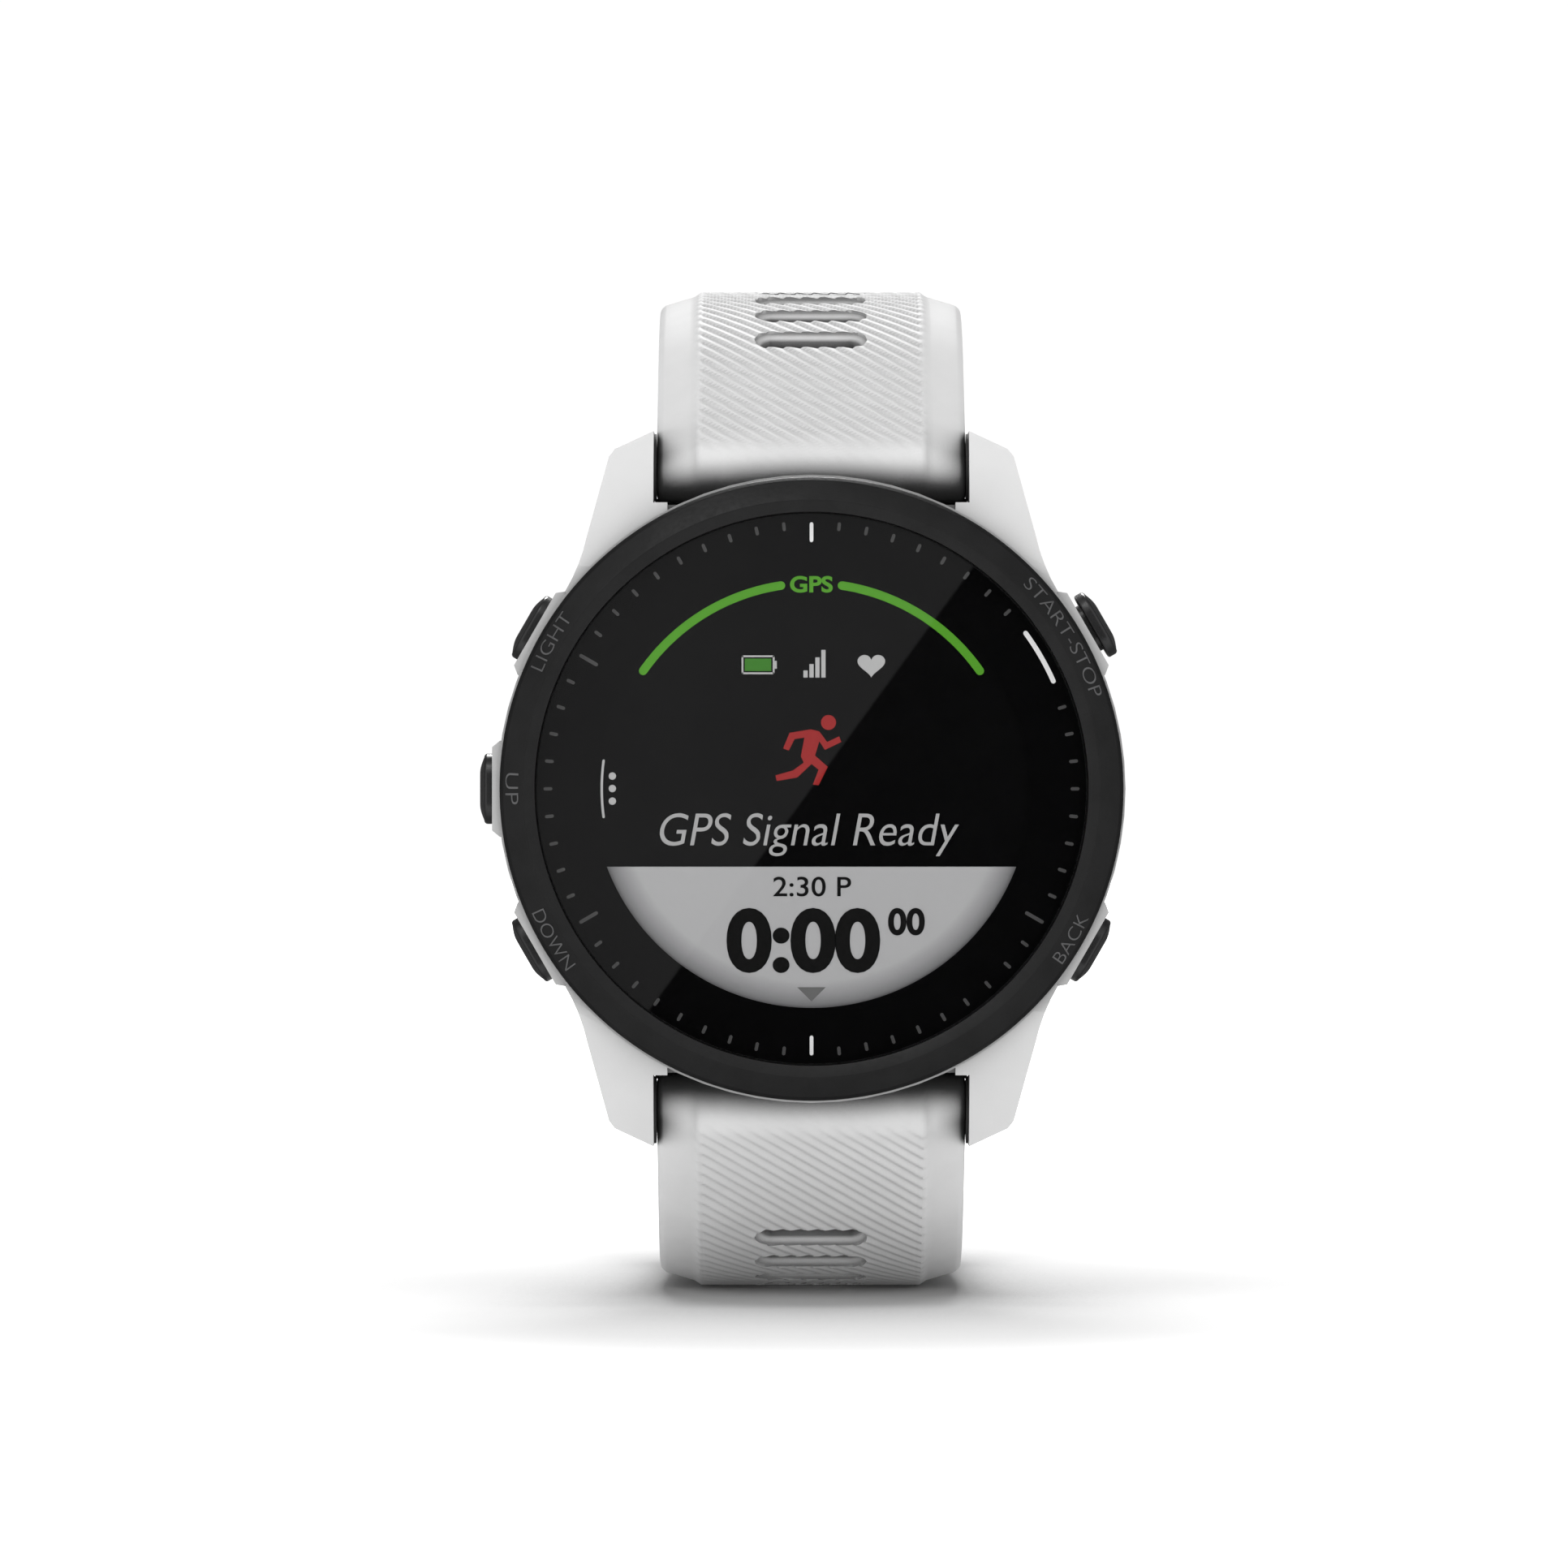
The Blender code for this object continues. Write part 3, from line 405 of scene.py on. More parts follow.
def outward(bm):
    """Turns one closed solid's faces outwards. It is done in millimetres, before the solid is scaled down."""
    bmesh.ops.recalc_face_normals(bm, faces=bm.faces)
    if bm.calc_volume(signed=True) < 0:
        bmesh.ops.reverse_faces(bm, faces=bm.faces)
    return bm


def gather(pieces):
    """One bmesh that holds several separate solids."""
    bm = bmesh.new()
    for single in pieces:
        held = bpy.data.meshes.new("held")
        outward(single).to_mesh(held)
        single.free()
        bm.from_mesh(held)
        bpy.data.meshes.remove(held)
    return bm


def piece(name, shape, material, body, replaced=(), angle=35, to_row=TO_ROW):
    """Puts a bmesh, or a list of them, in the scene as one piece. Edges sharper than angle stay sharp."""
    bm = gather(shape) if isinstance(shape, list) else outward(shape)
    bm.transform(to_row)
    mesh = bpy.data.meshes.new(name)
    bm.to_mesh(mesh)
    bm.free()
    mesh.materials.append(material)
    mesh.shade_smooth()
    mesh.set_sharp_from_angle(angle=math.radians(angle))
    obj = bpy.data.objects.new(name, mesh)
    bpy.context.scene.collection.objects.link(obj)
    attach(obj, body)
    if replaced:
        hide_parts(*replaced)
    return obj


def dress(node, material, bevel):
    """Finishes a CAD node that keeps its own shape. Its edges are rounded by a bevel, in millimetres."""
    obj = NODES[node]
    custom = obj.data.attributes.get("custom_normal")
    if custom:
        obj.data.attributes.remove(custom)
    obj.data.shade_smooth()
    obj.data.materials.clear()
    obj.data.materials.append(material)
    weld = obj.modifiers.new("weld", "WELD")
    weld.merge_threshold = 0.002 * MM
    if bevel:
        step = obj.modifiers.new("edges", "BEVEL")
        step.width = bevel * MM
        step.segments = 3
        step.limit_method = "ANGLE"
        step.angle_limit = math.radians(30)
        step.harden_normals = True
    return obj


def turned(profile, steps=192, closed=False):
    """A solid turned about Z from (radius, height) points. An open profile starts and ends on the axis."""
    bm = bmesh.new()
    points = [bm.verts.new((radius, 0, height)) for radius, height in profile]
    edges = [bm.edges.new(pair) for pair in zip(points, points[1:])]
    if closed:
        edges.append(bm.edges.new((points[-1], points[0])))
    bmesh.ops.spin(
        bm, geom=points + edges, cent=(0, 0, 0), axis=(0, 0, 1), angle=math.tau, steps=steps, use_merge=True
    )
    bmesh.ops.remove_doubles(bm, verts=bm.verts, dist=1e-4)
    return bm


def rounded(points, radii, count=5):
    """A closed profile whose corners are rounded by the given radii."""
    made = []
    total = len(points)
    for i, (corner, radius) in enumerate(zip(points, radii)):
        here = Vector(corner)
        before = (Vector(points[i - 1]) - here).normalized()
        after = (Vector(points[(i + 1) % total]) - here).normalized()
        if radius <= 0:
            made.append(tuple(here))
            continue
        half = before.angle(after) / 2
        reach = radius / math.tan(half)
        start, end = here + before * reach, here + after * reach
        for k in range(count + 1):
            t = k / count
            flat = start * (1 - t) ** 2 + here * 2 * t * (1 - t) + end * t * t
            made.append(tuple(flat))
    return made


def loft(rings):
    """A closed solid through rings of equally many points, capped at both ends."""
    bm = bmesh.new()
    rows = [[bm.verts.new(point) for point in points] for points in rings]
    for low, high in zip(rows, rows[1:]):
        for i in range(len(low)):
            j = (i + 1) % len(low)
            bm.faces.new((low[i], low[j], high[j], high[i]))
    bm.faces.new(rows[0])
    bm.faces.new(rows[-1])
    return bm


def stadium(length, width, count=64):
    """Outline with straight sides and round ends, long in X."""
    radius = width / 2
    reach = length / 2 - radius
    points = []
    for i in range(count):
        angle = math.tau * (i + 0.5) / count
        side = math.copysign(reach, math.cos(angle))
        points.append((side + radius * math.cos(angle), radius * math.sin(angle)))
    return points


def stack(levels):
    """A solid through (outline, height) levels."""
    return loft([[(x, y, height) for x, y in outline] for outline, height in levels])


def moved(bm, matrix):
    bm.transform(matrix)
    return bm


def slab(outline, low, high):
    """A flat shape of that outline, in (X, Y), between two heights."""
    bm = bmesh.new()
    face = bm.faces.new([bm.verts.new((x, y, high)) for x, y in outline])
    made = bmesh.ops.extrude_face_region(bm, geom=[face])
    lower = [v for v in made["geom"] if isinstance(v, bmesh.types.BMVert)]
    bmesh.ops.translate(bm, vec=(0, 0, low - high), verts=lower)
    bmesh.ops.triangulate(bm, faces=[f for f in bm.faces if len(f.verts) > 4])
    return bm


def line_outline(points, width, caps=6):
    """Outline of a stroke along points, with round ends."""
    half = width / 2
    points = [Vector(p) for p in points]
    left, right = [], []
    for i, here in enumerate(points):
        before = (here - points[i - 1]).normalized() if i else None
        after = (points[i + 1] - here).normalized() if i + 1 < len(points) else None
        way = (before or after) + (after or before)
        way.normalize()
        side = Vector((-way.y, way.x))
        stretch = 1 / max(0.5, side.dot(Vector((-(after or before).y, (after or before).x))))
        left.append(here + side * half * stretch)
        right.append(here - side * half * stretch)
    start, end = points[0], points[-1]

    def cap(centre, first):
        """Half a turn round one end, from the direction of its first point."""
        begin = math.atan2(*(first - centre).yx)
        turns = [begin + math.pi * k / caps for k in range(1, caps)]
        return [centre + half * Vector((math.cos(t), math.sin(t))) for t in turns]

    outline = left[::-1] + cap(start, left[0]) + right + cap(end, right[-1])
    return [tuple(p) for p in outline]


def stroke(points, width, low, high):
    """A flat line of that width with round ends."""
    return slab(line_outline(points, width), low, high)


def arc_points(radius, start, end, count=48, centre=(0, 0)):
    """Points of an arc between two directions in degrees."""
    turns = [math.radians(start + (end - start) * k / count) for k in range(count + 1)]
    return [(centre[0] + radius * math.cos(t), centre[1] + radius * math.sin(t)) for t in turns]


def dot(centre, radius, low, high, count=24):
    return slab(arc_points(radius, 0, 360 - 360 / count, count - 1, centre), low, high)


def lettering(body, box, low, high, bold=0.0, slant=0.0):
    """Text in the built-in typeface, stretched to fill box = (left, bottom, right, top)."""
    curve = bpy.data.curves.new("lettering", "FONT")
    curve.body = body
    curve.offset = bold
    curve.shear = slant
    curve.extrude = 0.5
    curve.resolution_u = 6
    holder = bpy.data.objects.new("lettering", curve)
    bpy.context.scene.collection.objects.link(holder)
    bpy.context.view_layer.update()
    bm = bmesh.new()
    bm.from_mesh(holder.to_mesh())
    bpy.data.objects.remove(holder)
    bpy.data.curves.remove(curve)
    xs = [v.co.x for v in bm.verts]
    ys = [v.co.y for v in bm.verts]
    left, bottom, right, top = box
    for v in bm.verts:
        v.co.x = left + (v.co.x - min(xs)) * (right - left) / (max(xs) - min(xs))
        v.co.y = bottom + (v.co.y - min(ys)) * (top - bottom) / (max(ys) - min(ys))
        v.co.z = high if v.co.z > 0 else low
    bmesh.ops.remove_doubles(bm, verts=bm.verts, dist=1e-5)
    return bm


def cut(obj, shape, matrix, operation="DIFFERENCE"):
    """Applies a Boolean to a piece at once."""
    tool_bm = gather(shape) if isinstance(shape, list) else outward(shape)
    tool_bm.transform(matrix)
    mesh = bpy.data.meshes.new("tool")
    tool_bm.to_mesh(mesh)
    tool_bm.free()
    tool = bpy.data.objects.new("tool", mesh)
    bpy.context.scene.collection.objects.link(tool)
    step = obj.modifiers.new("cut", "BOOLEAN")
    step.operation = operation
    step.solver = "EXACT"
    step.object = tool
    graph = bpy.context.evaluated_depsgraph_get()
    result = bpy.data.meshes.new_from_object(obj.evaluated_get(graph))
    obj.modifiers.clear()
    old = obj.data
    obj.data = result
    bpy.data.meshes.remove(old)
    bpy.data.objects.remove(tool)


# ---------------------------------------------------------------- front of the case


def make_bezel():
    """Ring with a ledge under the glass, and the buttons' names raised on its sloping face."""
    profile = [
        (17.2, 11.45),
        (BEZEL_RADIUS, 11.45),
        (BEZEL_RADIUS, 12.45),
        (RIM_RADIUS, RIM_Z),
        (CREST_RADIUS, CREST_Z),
        (19.5, 13.42),
        (19.5, 11.95),
        (17.2, 11.95),
    ]
    shape = rounded(profile, (0, 0.1, 0.25, 0.2, 0.12, 0.05, 0, 0))
    piece("bezel_ring", turned(shape, 256, closed=True), BEZEL_BLACK, "watch", ["bezel"], 28)
    labels = (
        ("START-STOP", 31.0, 26.0, True),
        ("LIGHT", 150.5, 12.1, True),
        ("UP", 180.0, 6.0, False),
        ("DOWN", 210.3, 12.6, False),
        ("BACK", 330.0, 10.0, False),
    )
    slope = (CREST_Z - RIM_Z) / (RIM_RADIUS - CREST_RADIUS)
    for text, middle, span, clockwise in labels:
        half = math.radians(span) * LABEL_RADIUS / 2
        bm = lettering(text, (-half, -LABEL_HALF, half, LABEL_HALF), -0.03, 0.035, bold=-0.012)
        for v in bm.verts:
            sign = 1 if clockwise else -1
            angle = math.radians(middle) - sign * v.co.x / LABEL_RADIUS
            radius = LABEL_MIDDLE + sign * v.co.y
            height = CREST_Z - (radius - CREST_RADIUS) * slope + v.co.z
            v.co = (radius * math.cos(angle), radius * math.sin(angle), height)
        name = "bezel_label_" + text.lower().replace("-", "_")
        piece(name, bm, LABEL_BLACK, "watch", angle=60)


def make_lens():
    """The glass, and the black print round the display behind it."""
    glass = [(0, PANE_BACK), (LENS_RADIUS, PANE_BACK), (LENS_RADIUS, LENS_FRONT), (0, LENS_FRONT)]
    piece("lens_pane", turned(glass, 256), LENS_GLASS, "watch", ["lens"], 12)
    rim, low = LENS_RADIUS - 0.02, PRINT_TOP - PRINT_THICK
    border = [(DISPLAY_RADIUS, low), (rim, low), (rim, PRINT_TOP), (DISPLAY_RADIUS, PRINT_TOP)]
    piece("dial_border", turned(border, 256, closed=True), PRINT_BLACK, "watch")


def tick(degrees, length, outer=TICK_OUTER, width=TICK_WIDTH):
    """Radial mark on the dial that ends at the outer radius."""
    angle = math.radians(degrees)
    way = Vector((math.cos(angle), math.sin(angle)))
    inner = outer - length + width / 2
    return stroke([tuple(way * inner), tuple(way * (outer - width / 2))], width, *PRINT_LAYER)


def make_ticks():
    """Minute ticks, long at three buttons and white at 12 and 6, and a white arc at the start button."""
    grey, white = [], []
    for minute in range(60):
        degrees = 6 * minute
        if 24 <= degrees <= 36:
            continue
        if degrees in (90, 270):
            white.append(tick(degrees, LONG_TICK - 0.1, TICK_OUTER - 0.1))
        elif degrees in (150, 210, 330):
            grey.append(tick(degrees, LONG_TICK))
        else:
            grey.append(tick(degrees, SHORT_TICK, width=0.24))
    white.append(stroke(arc_points(18.67, 24, 36), 0.34, *PRINT_LAYER))
    piece("dial_ticks_grey", grey, TICK_GREY, "watch")
    piece("dial_ticks_white", white, TICK_WHITE, "watch")


def show(name, shapes, material):
    piece(name, shapes, material, "watch", angle=60)


def corners(left, bottom, right, top):
    return [(left, bottom), (right, bottom), (right, top), (left, top)]


def make_screen():
    """Display face and what it shows, just under the lens."""
    low = SCREEN_BASE - 0.005
    face = [(0, low), (16.15, low), (16.15, SCREEN_BASE), (0, SCREEN_BASE)]
    piece("screen_face", turned(face, 128), SCREEN_BLACK, "watch")
    reach = math.degrees(math.asin(-FIELD_TOP / FIELD_RADIUS))
    field = arc_points(FIELD_RADIUS, 180 + reach, 360 - reach, 96)
    piece("screen_field", slab(field, SCREEN_BASE, SCREEN_TOP - 0.02), GREY_FIELD, "watch")
    make_signal_arc()
    make_icons()
    make_runner()
    make_screen_text()


def make_signal_arc():
    radius, width = 14.5, 0.6
    gap = math.degrees(math.asin(2.15 / radius))
    end = math.degrees(math.atan2(8.3, 11.85))
    ring = [stroke(arc_points(radius, end, 90 - gap), width, *SCREEN_LAYER)]
    ring.append(stroke(arc_points(radius, 90 + gap, 180 - end), width, *SCREEN_LAYER))
    ring.append(lettering("GPS", (-1.52, 13.84, 1.5, 15.02), *SCREEN_LAYER, bold=0.03))
    show("screen_signal_arc", ring, GREEN)


def heart(x, y, width, height, count=48):
    """Heart curve round (x, y), 32 units across and 29 tall. Width and height are the size of one unit."""
    points = []
    for k in range(count):
        t = math.tau * k / count
        across = 16 * math.sin(t) ** 3
        up = 13 * math.cos(t) - 5 * math.cos(2 * t) - 2 * math.cos(3 * t) - math.cos(4 * t)
        points.append((x + across * width, y + up * height))
    return points[::-1]


def make_icons():
    """Battery, signal bars, heart and the menu mark on the left."""
    x, y = -3.72, 8.75
    rim = corners(x - 1.15, y - 0.6, x + 1.05, y + 0.6)
    icons = [stroke(pair, 0.13, *SCREEN_LAYER) for pair in zip(rim, rim[1:] + rim[:1])]
    icons.append(slab(corners(x + 1.1, y - 0.28, x + 1.27, y + 0.28), *SCREEN_LAYER))
    for i, tall in enumerate((0.5, 0.95, 1.42, 1.95)):
        left = -0.57 + 0.42 * i
        icons.append(slab(corners(left, 7.85, left + 0.3, 7.85 + tall), *SCREEN_LAYER))
    icons.append(slab(heart(4.22, 8.78, 0.061, 0.056), *SCREEN_LAYER))
    icons.append(stroke(arc_points(14.8, 172.3, 187.7, 24), 0.17, *SCREEN_LAYER))
    icons += [dot((-14.05, level), 0.26, *SCREEN_LAYER) for level in (0.9, 0.02, -0.87)]
    show("screen_icons", icons, ICON_GREY)
    charge = slab(corners(x - 0.98, y - 0.44, x + 0.88, y + 0.44), *SCREEN_LAYER)
    show("screen_charge_level", [charge], GREEN_DARK)


def make_runner():
    """Running figure: a head, and one outline that goes round the back arm, the legs and the front arm."""
    back = [(0.55, 4.05), (-0.05, 4.2)]
    back_arm = [(-1.55, 3.95), (-2.0, 2.85), (-1.6, 2.7), (-1.2, 3.5), (-0.5, 3.62)]
    back_leg = [(-0.75, 2.3), (-0.55, 1.85), (-1.3, 1.3), (-2.55, 0.95), (-2.45, 0.55), (-1.0, 0.8)]
    front_leg = [(0.0, 1.75), (0.5, 1.35), (0.1, 0.3), (0.5, 0.25), (1.15, 1.55), (0.25, 2.35)]
    front_arm = [(0.55, 3.35), (0.95, 2.75), (2.1, 3.3), (1.95, 3.7), (1.1, 3.3)]
    figure = (back + back_arm + back_leg + front_leg + front_arm)[::-1]
    show("screen_runner", [dot((1.2, 4.68), 0.53, *SCREEN_LAYER), slab(figure, *SCREEN_LAYER)], RED)


def make_screen_text():
    area = (-10.7, -4.75, 10.4, -1.72)
    message = lettering("GPS Signal Ready", area, *SCREEN_LAYER, bold=-0.004, slant=0.2)
    show("screen_message", [message], TEXT_GREY)
    texts = (
        ("2:30 P", (-2.7, -7.6, 2.8, -6.2), 0.006),
        ("0:00", (-6.0, -13.0, 4.85, -8.4), 0.035),
        ("00", (5.4, -10.35, 8.0, -8.4), 0.03),
    )
    shapes = [lettering(text, area, *SCREEN_LAYER, bold=bold) for text, area, bold in texts]
    show("screen_time", shapes, TEXT_DARK)
    mark = slab([(-1.0, -14.0), (0, -15.0), (1.0, -14.0)], *SCREEN_LAYER)
    show("screen_down_mark", [mark], MARK_GREY)


# ---------------------------------------------------------------- buttons


def radial_matrix(degrees):
    """Local Z outwards from the case centre, local X along the rim and local Y out of the dial."""
    angle = math.radians(degrees)
    along = Vector((math.sin(angle), -math.cos(angle), 0))
    out = Vector((math.cos(angle), math.sin(angle), 0))
    turn = Matrix((along, out.cross(along), out)).transposed().to_4x4()
    turn.translation = out * GUARD_RADIUS + Vector((0, 0, BUTTON_Z))
    return turn


def cap_outline(inset):
    return stadium(CAP_LENGTH - inset, CAP_WIDTH - inset)


def button_cap(raised):
    """Cap on a stem, with a rounded foot and edge and a domed face. A raised cap has a wider neck."""
    low, edge, crown = (0.34, 1.12, 1.42) if raised else (-1.0, 0.62, 0.92)
    foot, turn, spread = 0.15, 0.25, 2.3
    levels = [(stadium(STEM, STEM - 0.01), -4.05), (stadium(STEM, STEM - 0.01), -1.0)]
    if raised:
        levels += [(stadium(3.6, 2.2), -1.0), (stadium(3.6, 2.2), low)]
    for k in range(5):
        t = math.pi / 2 * k / 4
        levels.append((cap_outline(2 * foot * (1 - math.sin(t))), low + foot * (1 - math.cos(t))))
    for k in range(7):
        t = math.pi / 2 * k / 6
        levels.append((cap_outline(2 * turn * (1 - math.cos(t))), edge - turn + turn * math.sin(t)))
    for k in range(1, 9):
        t = k / 8
        levels.append((cap_outline(2 * turn + spread * t), edge + (crown - edge) * math.sin(t * math.pi / 2)))
    return stack(levels)


def make_buttons():
    for name, degrees in BUTTONS.items():
        cap = moved(button_cap(name == "start"), radial_matrix(degrees))
        body, node = name + "_button", "button_" + name
        piece("button_cap_" + name, cap, BUTTON_BLACK, body, [node], 40)


# ---------------------------------------------------------------- strap


def normal_of(degrees):
    """Direction out of the strap, in (Y, Z), where its outer line has turned by that angle."""
    angle = math.radians(degrees)
    return Vector((math.sin(angle), math.cos(angle)))


def tangent_of(degrees):
    angle = math.radians(degrees)
    return Vector((math.cos(angle), -math.sin(angle)))


def path_length(path):
    return sum(size if kind == "line" else size * math.radians(turn) for kind, size, turn in path)


def strap_point(path, distance):
    """(point, angle) on the strap's outer line. Below zero it runs back round the knuckle."""
    pin = Vector((PIN_Y, PIN_Z))
    if distance < 0:
        degrees = SHOULDER_ANGLE + math.degrees(distance / KNUCKLE)
        return pin + KNUCKLE * normal_of(degrees), degrees
    point, degrees = pin + KNUCKLE * normal_of(SHOULDER_ANGLE), SHOULDER_ANGLE
    for kind, size, turn in path:
        length = size if kind == "line" else size * math.radians(turn)
        step = min(distance, length)
        if kind == "line":
            point = point + step * tangent_of(degrees)
        else:
            swept = math.degrees(step / size)
            point = point + size * (normal_of(degrees + swept) - normal_of(degrees))
            degrees += swept
        distance -= step
        if distance <= 1e-9:
            break
    return point, degrees


def strap_frame(path, distance):
    """Axes on the outer line: local Y along the strap and local Z out of it."""
    point, degrees = strap_point(path, distance)
    along, out = tangent_of(degrees), normal_of(degrees)
    made = Matrix(((1, 0, 0), (0, along.x, out.x), (0, along.y, out.y))).to_4x4()
    made.translation = (0, point.x, point.y)
    return made


def clamped(t):
    return max(0.0, min(1.0, t))


def smooth_step(t):
    t = clamped(t)
    return t * t * (3 - 2 * t)


def rib(phase):
    """A ridge that climbs quickly and drops slowly, from 0 to 1."""
    t = phase % 1.0
    return smooth_step(t / RIB_RISE) if t < RIB_RISE else 1 - (t - RIB_RISE) / (1 - RIB_RISE)


def top_height(x, s, sign, total):
    """Height of the strap's outer face above its outer line: sloping margins and, between them, the ribs."""
    ax = abs(x)
    margin = -0.3 * smooth_step((ax - 7.95) / 0.5) - 0.75 * clamped((ax - 8.3) / 2.5)
    fade = smooth_step((s + 2.4) / 4.2) * smooth_step((total - TIP_LENGTH - s) / 5.0)
    side = 1 - smooth_step((ax - 7.8) / 0.45)
    return margin - RIB_DEPTH * fade * side * (1 - rib(sign * (s + RIB_SLANT * x) / RIB_PITCH))


def width_scale(s, total, taper_from):
    """Share of the full width at a distance, for a half that narrows and ends in a round tip."""
    if taper_from is None:
        return 1.0
    half = STRAP_HALF - TAPER * clamped((s - taper_from) / TAPER_LENGTH)
    past = clamped((s - (total - TIP_LENGTH)) / TIP_LENGTH)
    return half * (0.25 + 0.75 * math.sqrt(1 - past * past)) / STRAP_HALF


def strap_columns():
    """(x, drop of the outer face, rise of the inner face) across the strap."""
    flat = [-8.5 + 17.0 * k / 68 for k in range(69)]
    middle = [(x, 0.0, 0.0) for x in [-10.1, -9.6, -9.1, -8.8] + flat + [8.8, 9.1, 9.6, 10.1]]
    side = []
    for k in range(9):
        t = math.pi / 2 * k / 8
        inset = EDGE_ROUND * (1 - math.sin(t))
        lift = 0.0
        if inset < UNDER_ROUND:
            lift = UNDER_ROUND - math.sqrt(max(0.0, UNDER_ROUND**2 - (UNDER_ROUND - inset) ** 2))
        side.append((STRAP_HALF - inset, EDGE_ROUND * (1 - math.cos(t)), lift))
    return [(-x, drop, lift) for x, drop, lift in reversed(side)] + middle + side


def strap_section(path, sign, total, x, drop, lift):
    """(point, direction out, height, distance) round the strap at one X, from the knuckle and back to it."""
    pin = Vector((PIN_Y, PIN_Z))
    for k in range(72):
        degrees = -130 + 2.5 * k
        blend = smooth_step((degrees + 50) / 90)
        plain = top_height(x, KNUCKLE * math.radians(degrees - SHOULDER_ANGLE), sign, total) - drop
        out = normal_of(degrees)
        yield pin + KNUCKLE * out, out, plain * blend - lift * (1 - blend), 0.0
    count = int(total / OUTER_STEP)
    for k in range(count + 1):
        s = (total - TIP_ROUND) * k / count
        point, degrees = strap_point(path, s)
        yield point, normal_of(degrees), top_height(x, s, sign, total) - drop, s
    top = top_height(x, total, sign, total) - drop
    room = 0.45 * (top - lift + STRAP_THICK)
    tip = [math.pi / 2 * k / 6 for k in range(1, 7)]
    for t in tip:
        s = total - TIP_ROUND * (1 - math.sin(t))
        point, degrees = strap_point(path, s)
        yield point, normal_of(degrees), top - min(TIP_ROUND, room) * (1 - math.cos(t)), s
    for t in reversed(tip):
        s = total - UNDER_ROUND * (1 - math.sin(t))
        point, degrees = strap_point(path, s)
        yield point, normal_of(degrees), lift - STRAP_THICK + min(UNDER_ROUND, room) * (1 - math.cos(t)), s
    count = int(total / INNER_STEP)
    for k in range(count, -1, -1):
        s = INNER_START + (total - UNDER_ROUND - INNER_START) * k / count
        point, degrees = strap_point(path, s)
        yield point, normal_of(degrees), lift - STRAP_THICK, s
    for k in range(17):
        out = normal_of(145 + 5 * k)
        yield pin + KNUCKLE * out, out, -lift, 0.0


def strap_mesh(path, sign, taper_from=None):
    """Fine mesh of one strap half in the axes of the upper half, with the ribs as real relief."""
    total = path_length(path)
    bm = bmesh.new()
    rings = []
    for x, drop, lift in strap_columns():
        ring = []
        for point, out, height, s in strap_section(path, sign, total, x, drop, lift):
            scale = width_scale(s, total, taper_from)
            if taper_from is not None:
                height *= min(1.0, scale * STRAP_HALF / (STRAP_HALF - TAPER))
            ring.append(bm.verts.new((x * scale, point.x + height * out.x, point.y + height * out.y)))
        rings.append(ring)
    for low, high in zip(rings, rings[1:]):
        for i in range(len(low)):
            j = (i + 1) % len(low)
            bm.faces.new((low[i], low[j], high[j], high[i]))
    bm.faces.new(rings[0])
    bm.faces.new(rings[-1])
    return bm


def slot_cutters(path, count):
    """Round-ended holes, each at the bottom of a stepped rim."""
    rim = (
        (7.2, 1.5, -6.0),
        (7.2, 1.5, -0.75),
        (7.3, 1.6, -0.62),
        (7.6, 1.85, -0.5),
        (8.0, 2.2, -0.45),
        (8.1, 2.3, -0.38),
        (8.1, 2.3, -0.08),
        (8.3, 2.5, 0.06),
        (8.3, 2.5, 1.5),
    )
    made = []
    for number in range(count):
        levels = [(stadium(length, width, 48), height) for length, width, height in rim]
        distance = SLOT_FIRST - KNUCKLE * math.radians(SHOULDER_ANGLE) + number * SLOT_PITCH
        made.append(moved(stack(levels), strap_frame(path, distance)))
    return made


def along_x(bm):
    """A shape whose own Z has been turned to X."""
    return moved(bm, Matrix.Rotation(math.radians(90), 4, "Y"))


def pin_axes():
    """The shoulder's axes with their origin on the lug pin: local Z out of the strap, local Y along it."""
    made = strap_frame([("line", 1.0, 0)], 0.0)
    made.translation = (0, PIN_Y, PIN_Z)
    return made


def disc(radius, low, high, steps=64):
    return turned([(0, low), (radius, low), (radius, high), (0, high)], steps)


def box(size, centre):
    bm = bmesh.new()
    bmesh.ops.create_cube(bm, matrix=Matrix.Translation(centre) @ Matrix.Diagonal((*size, 1)))
    return bm


HALF_TURN = Matrix.Diagonal((-1, -1, 1, 1))


def latch_pocket():
    """Room in the strap's wrist side for the quick-release hook and its tab."""
    return moved(box((15.8, 11.4, 6.5), (0, 3.9, -4.0)), pin_axes())


def case_groove():
    """Round channel that clears the rear cover's edge."""
    outline, reach = stadium(12.0, 2.1, 48), 14.0
    spot = pin_axes() @ Matrix.Translation((0, 0, -4.95)) @ Matrix.Rotation(math.radians(90), 4, "Y")
    return moved(stack([(outline, -reach), (outline, reach)]), spot)


def make_strap(name, path, sign, slots, body, node, taper_from=None):
    """One strap half. Sign -1 turns the lower half's mesh round from the upper half's axes."""
    to_row = TO_ROW if sign > 0 else TO_ROW @ HALF_TURN
    shape = strap_mesh(path, sign, taper_from)
    strap = piece(name, shape, SILICONE, body, [node], 50, to_row)
    cut(strap, slot_cutters(path, slots), to_row)
    cut(strap, case_groove(), to_row)
    cut(strap, latch_pocket(), to_row)
    cut(strap, moved(along_x(disc(1.75, -7.9, 7.9)), pin_axes()), to_row)
    if sign > 0:
        add_buckle_eye(strap, path, to_row)
    strap.data.shade_smooth()
    strap.data.set_sharp_from_angle(angle=math.radians(50))
    return strap


